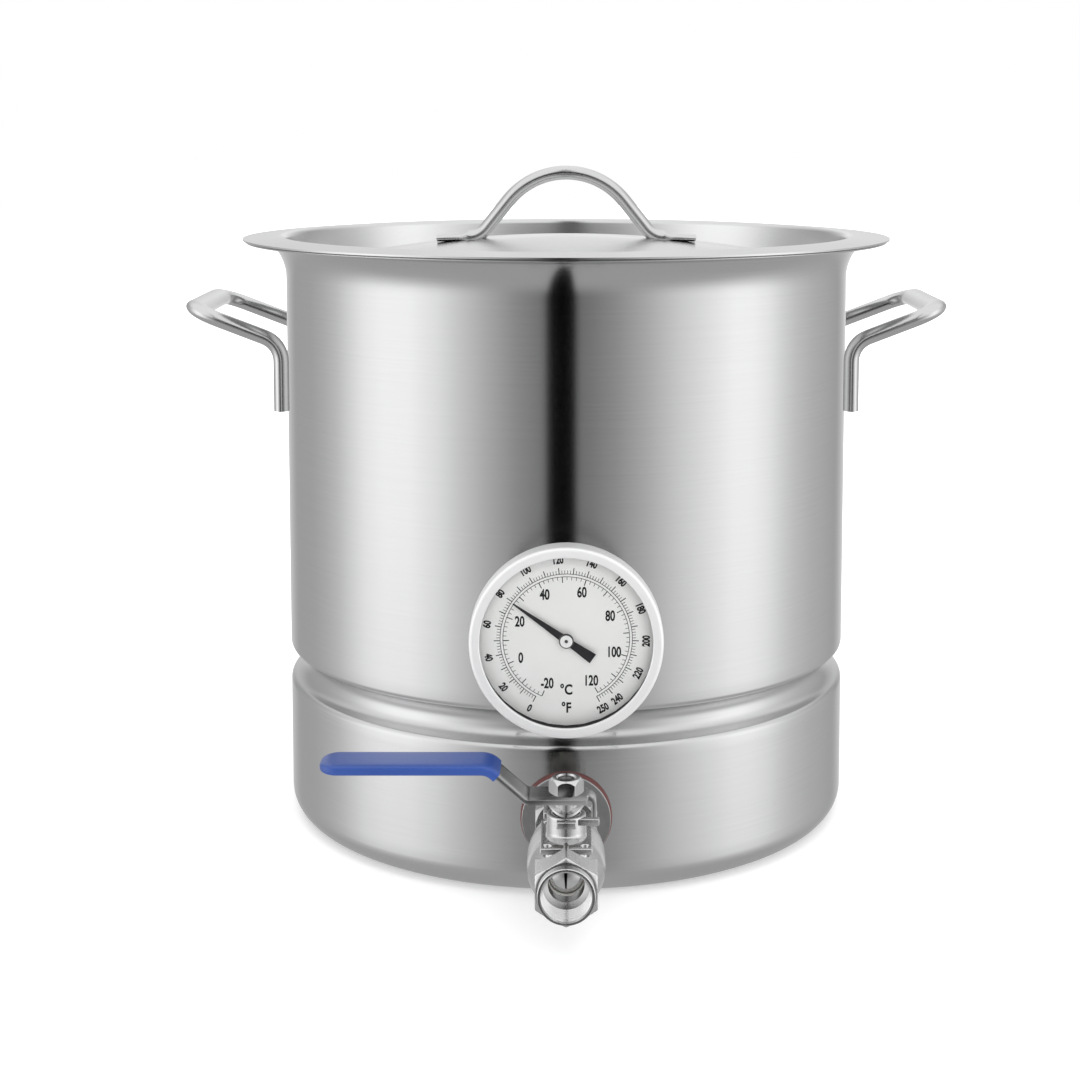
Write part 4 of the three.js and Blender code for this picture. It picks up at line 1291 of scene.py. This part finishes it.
first_c, last_c = celsius_angle(-20), celsius_angle(120)
first_f, last_f = fahrenheit_angle(0), fahrenheit_angle(250)
print_parts = [
    fan_of_ticks("small_f", first_f, last_f, 125, outer_line, outer_line + 0.0017, 0.00025),
    fan_of_ticks("large_f", first_f, last_f, 25, outer_line, outer_line + 0.0029, 0.0004),
    fan_of_ticks("small_c", first_c, last_c, 70, inner_line - 0.0015, inner_line, 0.00025),
    fan_of_ticks("large_c", first_c, last_c, 14, inner_line - 0.0027, inner_line, 0.0004),
    line_of_ink("outer_line", outer_line, first_f, last_f, 0.00026),
    line_of_ink("inner_line", inner_line - 0.0002, first_c, last_c, 0.00026),
]
for reading in list(range(0, 241, 20)) + [250]:
    print_parts.append(
        lettering(str(reading), 0.0346, fahrenheit_angle(reading), 0.0044, False, 0.74)
    )
for reading in range(-20, 121, 20):
    print_parts.append(lettering(str(reading), 0.0214, celsius_angle(reading), 0.0063, True, 0.66))
print_parts.append(lettering("°C", 0.0226, 180, 0.0062, True))
print_parts.append(lettering("°F", 0.0306, 180, 0.0062, True))
bpy.ops.object.select_all(action="DESELECT")
for part in print_parts:
    part.select_set(True)
bpy.context.view_layer.objects.active = print_parts[0]
bpy.ops.object.join()
dial_print = bpy.context.object
dial_print.name = dial_print.data.name = "dial_print"
open_mode(dial_print)
bpy.ops.mesh.select_mode(type="FACE")
select_faces(dial_print, lambda at, out: out.y > 0)
bpy.ops.mesh.flip_normals()
bpy.ops.object.mode_set(mode="OBJECT")


def flat_paint(name, colour, roughness):
    """Thin matt paint or ink: even, with a fine tooth."""
    material, shader, place = new_finish(name)
    tooth = place.noise(place, scale=2400.0, detail=2.0)
    cloud = place.noise(place, scale=50.0, detail=2.0)
    shade = tuple(part * 0.94 for part in colour) + (1,)
    plug(
        shader,
        Base_Color=place.blend(cloud, shade, tuple(colour) + (1,)),
        Roughness=roughness + (tooth - 0.5) * 0.1,
        Normal=place.bump(tooth, 0.1, 0.00002),
    )
    return material


dress(dial_print, "kettle", "dial_paint", flat_paint("black_ink", (0.008, 0.008, 0.009), 0.5))

# ---------------------------------------------------------------------------------------------
# The pointer. Thin blackened strip, tapered to a needle and widened at its tail, pressed on the
# spindle under a small bright cap, whose rounded rim and centre dent are coloured dark as painted
# shade.
# ---------------------------------------------------------------------------------------------
needle_low, needle_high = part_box("pointer")
knob_low, knob_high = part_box("pointer_cap")
reading_turn = radians(fahrenheit_angle(80))
needle = [
    (-0.0003, 0.0280), (-0.0011, 0.012), (-0.0016, 0.003), (-0.0016, -0.003), (-0.0024, -0.014),
    (0.0024, -0.014), (0.0016, -0.003), (0.0016, 0.003), (0.0011, 0.012), (0.0003, 0.0280),
]
needle_points = [
    (
        x * cos(reading_turn) + up * sin(reading_turn),
        needle_high[1],
        dial_height - x * sin(reading_turn) + up * cos(reading_turn),
    )
    for x, up in needle
]
pointer = loop_of("needle", needle_points)
bpy.ops.mesh.edge_face_add()
bpy.ops.mesh.extrude_region_move(
    TRANSFORM_OT_translate={"value": (0, needle_low[1] - needle_high[1], 0)}
)
close_ends(pointer)
bpy.ops.object.modifier_add(type="BEVEL")
pointer.modifiers[-1].width = 0.00012
pointer.modifiers[-1].segments = 2
bpy.ops.object.modifier_apply(modifier=pointer.modifiers[-1].name)
smooth(pointer, 30)
dress(
    pointer, "pointer", "pointer_paint", flat_paint("pointer_black", (0.025, 0.025, 0.028), 0.4), "pointer"
)
knob_back = -pot_radius - knob_high[1]
knob_front = -pot_radius - knob_low[1]
knob = turned(
    "pointer_knob",
    [(0, knob_back), (0.0031, knob_back), (0.0032, knob_back + 0.0001)]
    + arc(0.0027, knob_front - 0.0005, 0.0005, 0, 90, 4)
    + [(0.0008, knob_front), (0.0007, knob_front - 0.0004), (0, knob_front - 0.0004)],
    dial,
    "front",
    48,
)
knob_finish, knob_shader, knob_place = new_finish("turned_knob_steel")
knob_x, knob_y, knob_z = knob_place.split()
knob_reach = (knob_x * knob_x + (knob_z - dial_height) * (knob_z - dial_height)) ** 0.5
# Painted shade: the knob's rounded rim and the dent in its middle are coloured near black.
painted_shade_rim_and_dent = ((knob_reach - 0.0026) * 9000.0).limited() + ((0.0008 - knob_reach) * 9000.0).limited()
knob_grain = knob_place.noise(knob_place, scale=1500.0, detail=2.0)
plug(
    knob_shader,
    Base_Color=knob_place.blend(painted_shade_rim_and_dent, (0.82, 0.82, 0.82, 1), (0.06, 0.06, 0.06, 1)),
    Roughness=0.35 + (knob_grain - 0.5) * 0.1,
)
dress(knob, "pointer", "polished_steel", knob_finish, "pointer_cap")

# ---------------------------------------------------------------------------------------------
# The false bottom. A punched stainless sieve with an upturned rim that lies on the wall's bead,
# lifted by a bent wire loop welded to its middle.
# ---------------------------------------------------------------------------------------------
sieve_low, sieve_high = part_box("false_bottom_plate")
sieve_radius = sieve_high[0]
sieve_sheet = 0.0012
sieve_rim = sieve_high[2] - sieve_low[2]
hole_pitch = 0.0065
hole_radius = 0.0016
punched_radius = 0.120
base = (0, 0, sieve_low[2])
sieve = turned(
    "sieve",
    [(0.1175, -0.00002), (sieve_radius - 0.0022, -0.00002)]
    + arc(sieve_radius - 0.0022, 0.0022, 0.0022, -90, 0, 6)[1:]
    + [(sieve_radius, sieve_rim - 0.0002), (sieve_radius - 0.0004, sieve_rim)]
    + [(sieve_radius - sieve_sheet, sieve_rim)]
    + arc(sieve_radius - 0.0022, 0.0022, 0.0010, 0, -90, 4)
    + [(0.1175, sieve_sheet + 0.00002), (0.1175, -0.00002)],
    base,
    "up",
    128,
)
rows = int(2 * punched_radius / hole_pitch) + 2
row_step = hole_pitch * sqrt(3) / 2
bpy.ops.object.select_all(action="DESELECT")
bpy.ops.mesh.primitive_circle_add(
    vertices=6, radius=hole_pitch / sqrt(3), fill_type="NGON", location=(0, 0, sieve_low[2])
)
cells = bpy.context.object
bpy.ops.object.transform_apply(location=True, rotation=True, scale=True)
bpy.ops.object.mode_set(mode="EDIT")
bpy.ops.mesh.select_all(action="SELECT")
bpy.ops.mesh.subdivide(number_cuts=1, ngon=True)
bpy.ops.mesh.select_mode(type="FACE")
bpy.ops.mesh.select_all(action="SELECT")
bpy.ops.mesh.dissolve_faces()
bpy.ops.mesh.inset(thickness=0.0012)
bpy.ops.mesh.delete(type="ONLY_FACE")
bpy.ops.mesh.select_mode(type="VERT")
edit = bmesh.from_edit_mesh(cells.data)
for spot in edit.verts:
    spot.select_set(sqrt(spot.co.x ** 2 + spot.co.y ** 2) < hole_pitch * 0.42)
    if spot.select:
        shrink = hole_radius / sqrt(spot.co.x ** 2 + spot.co.y ** 2)
        spot.co.x *= shrink
        spot.co.y *= shrink
bmesh.update_edit_mesh(cells.data)
bpy.ops.mesh.select_all(action="SELECT")
bpy.ops.transform.translate(value=(-hole_pitch * rows * 0.75, -row_step * rows / 2, 0))
bpy.ops.object.mode_set(mode="OBJECT")
for offset, count in (((hole_pitch, 0, 0), int(rows * 1.5)), ((hole_pitch / 2, row_step, 0), rows + 1)):
    bpy.ops.object.modifier_add(type="ARRAY")
    spread = cells.modifiers[-1]
    spread.use_relative_offset = False
    spread.use_constant_offset = True
    spread.constant_offset_displace = offset
    spread.count = count
    bpy.ops.object.modifier_apply(modifier=spread.name)
open_mode(cells)
bpy.ops.mesh.select_mode(type="FACE")
select_faces(cells, lambda at, out: sqrt(at.x ** 2 + at.y ** 2) > punched_radius)
bpy.ops.mesh.delete(type="FACE")
bpy.ops.mesh.select_mode(type="VERT")
bpy.ops.mesh.select_all(action="SELECT")
bpy.ops.mesh.remove_doubles(threshold=0.00005)
bpy.ops.mesh.normals_make_consistent(inside=False)
bpy.ops.object.mode_set(mode="OBJECT")
bpy.ops.object.modifier_add(type="SOLIDIFY")
cells.modifiers[-1].thickness = sieve_sheet
cells.modifiers[-1].offset = 1 if cells.data.polygons[0].normal.z > 0 else -1
bpy.ops.object.modifier_apply(modifier=cells.modifiers[-1].name)
bpy.ops.object.select_all(action="DESELECT")
cells.select_set(True)
sieve.select_set(True)
bpy.context.view_layer.objects.active = sieve
bpy.ops.object.join()
smooth(sieve, 40)
dress(sieve, "false_bottom", "brushed_steel", sheet_steel("sieve_steel", 0.3, 0.3), "false_bottom_plate")

wire_low, wire_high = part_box("false_bottom_handle")
wire = 0.0023
wire_half = 0.017
wire_top = wire_high[2] - wire
wire_lay = wire_low[2] + wire
wire_foot = wire_high[0]
turns = [2 * pi * i / 16 for i in range(16)]
lift_loop = loop_of(
    "lift_loop", [(-wire_foot, wire * cos(t), wire_lay + wire * sin(t)) for t in turns]
)
push((wire_foot - wire_half - 0.005, 0, 0))
bend(-pi / 2, (-wire_half - 0.005, 0, wire_lay + 0.005), (0, 1, 0), 8)
push((0, 0, wire_top - 0.009 - wire_lay - 0.005))
bend(pi / 2, (-wire_half + 0.009, 0, wire_top - 0.009), (0, 1, 0), 10)
push((2 * wire_half - 0.018, 0, 0))
bend(pi / 2, (wire_half - 0.009, 0, wire_top - 0.009), (0, 1, 0), 10)
push((0, 0, wire_lay + 0.005 - wire_top + 0.009))
bend(-pi / 2, (wire_half + 0.005, 0, wire_lay + 0.005), (0, 1, 0), 8)
push((wire_foot - wire_half - 0.005, 0, 0))
close_ends(lift_loop, 40)
dress(lift_loop, "false_bottom", "polished_steel", polished, "false_bottom_handle")

# ---------------------------------------------------------------------------------------------
# What is inside and out of sight. The seats and packing are white plastic, the inner rings are
# silicone, and the nuts, the pick-up tube, the probe and its coil are plain machined stainless.
# ---------------------------------------------------------------------------------------------
def pressed_plastic(name, colour):
    """White sealing plastic: waxy, faintly marbled."""
    material, shader, place = new_finish(name, Subsurface_Weight=0.1)
    shader.inputs["Subsurface Scale"].default_value = 0.001
    marble = place.noise(place, scale=300.0, detail=3.0)
    dark = tuple(part * 0.88 for part in colour) + (1,)
    plug(
        shader,
        Base_Color=place.blend(marble, dark, tuple(colour) + (1,)),
        Roughness=0.42 + (marble - 0.5) * 0.15,
    )
    return material


sealing_white = pressed_plastic("sealing_plastic", (0.8, 0.79, 0.75))
carried_over = {
    "valve_seat_front": sealing_white,
    "valve_seat_rear": sealing_white,
    "valve_body_gasket": sealing_white,
    "thrust_washer": sealing_white,
    "stem_packing": sealing_white,
    "port_gasket_inner": red_silicone,
    "dial_gasket_inner": red_silicone,
    "glass_gasket": soft_rubber("black_rubber", (0.02, 0.02, 0.021), 0.6),
    "dial_plate": flat_paint("dial_white", (0.86, 0.86, 0.85), 0.45),
    "port_locknut": polished,
    "dial_locknut": polished,
    "pickup_nut": polished,
    "pickup_tube": polished,
    "probe_tube": polished,
    "pointer_spindle": machined,
    "bimetal_coil": machined,
}
for node_name, material in carried_over.items():
    for material_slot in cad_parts[node_name].material_slots:
        material_slot.material = material

# ---------------------------------------------------------------------------------------------
# The room: a floor that glows white away from the pot and is painted darker round it, a painted
# shadow, soft light from above and in front, and a studio bright at both sides and dim in front,
# with a narrow black strip behind the camera. The handles and most fittings are hidden from mirror
# rays, so the pot's wall doesn't show them.
# ---------------------------------------------------------------------------------------------
bpy.ops.object.select_all(action="DESELECT")
bpy.ops.mesh.primitive_plane_add(size=14, location=(0, 0, -0.0002))
floor = bpy.context.object
floor.name = "floor"
floor.visible_glossy = False
floor_paint, floor_shader, floor_place = new_finish(
    "floor_paint", Roughness=0.9, Specular_IOR_Level=0.0, Emission_Strength=1.0
)
floor_x, floor_y, floor_z = floor_place.split()
# Painted shadow: near the pot the floor's colour is darker (0.8 against 0.9) and its glow weaker (0.3
# against 1), fading out by about 0.86 m from the centre.
away_from_painted_shadow = ((floor_x * floor_x + floor_y * floor_y) ** 0.5 * 1.4 - 0.2).limited()
plug(
    floor_shader,
    Base_Color=floor_place.blend(away_from_painted_shadow, (0.8, 0.8, 0.8, 1), (0.9, 0.9, 0.9, 1)),
    Emission_Color=floor_place.blend(away_from_painted_shadow, (0.3, 0.3, 0.3, 1), (1, 1, 1, 1)),
)
floor.data.materials.append(floor_paint)

world = bpy.data.worlds.new("studio")
bpy.context.scene.world = world
world.use_nodes = True
sky = world.node_tree
backdrop = sky.nodes["Background"]
direction = Wire(sky, sky.nodes.new("ShaderNodeTexCoord").outputs["Generated"])
sky_x, sky_y, sky_z = direction.split()
bearing = direction.maths("ARCTAN2", sky_x, sky_y * -1.0)
ramp = sky.nodes.new("ShaderNodeValToRGB")
studio = [
    (-180, 1.0), (-165, 0.7), (-145, 0.45), (-125, 0.52), (-114, 0.63), (-105, 0.78),
    (-96, 1.05), (-88, 1.3), (-78, 1.45), (-65, 1.45), (-52, 1.2), (-45, 0.98),
    (-32, 0.64), (-20, 0.38), (-9, 0.23), (-6.8, 0.0), (3.1, 0.0), (5.2, 0.21),
    (10, 0.25), (20, 0.39), (32, 0.63), (45, 0.95), (58, 1.22), (70, 1.45),
    (79, 1.44), (88, 1.28), (96, 1.03), (105, 0.82), (118, 0.65), (145, 0.45), (180, 1.0),
]
elements = ramp.color_ramp.elements
for degree, value in studio[1:-1]:
    elements.new((degree + 180) / 360)
for element, (degree, value) in zip(sorted(elements, key=lambda e: e.position), studio):
    element.position = (degree + 180) / 360
    element.color = (value, value, value, 1)
sky.links.new((bearing / (2 * pi) + 0.5).socket, ramp.inputs[0])
around = Wire(sky, ramp.outputs[0])
off_card = (around * 8.0).limited()
overhead = ((sky_z - 0.35) * 3.0).limited() * off_card
dome = direction.blend(overhead, around, (1.1, 1.1, 1.1, 1))
below = ((sky_z + 0.25) * -3.0).limited() * off_card
dome = direction.blend(below, dome, (0.48, 0.48, 0.48, 1))
path = sky.nodes.new("ShaderNodeLightPath")
seen = Wire(sky, path.outputs["Is Camera Ray"])
matt = Wire(sky, path.outputs["Is Diffuse Ray"])
dome = direction.blend(matt, dome, (0.95, 0.95, 0.95, 1))
sky.links.new(direction.blend(seen, dome, (1, 1, 1, 1)).socket, backdrop.inputs["Color"])


def soft_light(name, place, aim, size, power, glossy=False):
    """A square soft light that the camera doesn't see."""
    bpy.ops.object.select_all(action="DESELECT")
    bpy.ops.object.light_add(type="AREA", location=place)
    lamp = bpy.context.object
    lamp.name = name
    lamp.data.shape = "SQUARE"
    lamp.data.size = size
    lamp.data.energy = power
    lamp.rotation_euler = (Vector(aim) - Vector(place)).to_track_quat("-Z", "Y").to_euler()
    lamp.visible_camera = False
    lamp.visible_glossy = glossy
    return lamp


soft_light("overhead_light", (0, -0.3, 2.4), (0, 0, 0), 2.4, 26)
soft_light("front_light", (0.3, -2.0, 0.9), (0, -0.15, 0.1), 1.4, 15)
fittings = [
    right_handle, left_handle, port_seal, port_washer, nipple, end_cap, valve_body, ball, gland,
    wave_washer, lever_strip, sleeve, top_nut, stem_end, dial_seal, dial_washer, adapter, case,
    bezel, glass, dial_print, pointer, knob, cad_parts["dial_plate"],
]
for piece in fittings:
    piece.visible_glossy = False

bpy.ops.object.select_all(action="DESELECT")
bpy.ops.object.camera_add(location=(0, -0.986, 0.3466))
camera = bpy.context.object
camera.name = "front_camera"
camera.data.sensor_width = 36
camera.data.lens = 65.27
camera.data.shift_x = -0.0243
camera.data.shift_y = -0.2
camera.rotation_euler = (radians(90 - 5.95), 0, 0)
camera.data.clip_start = 0.01
bpy.context.scene.camera = camera
bpy.context.scene.view_settings.view_transform = "Standard"
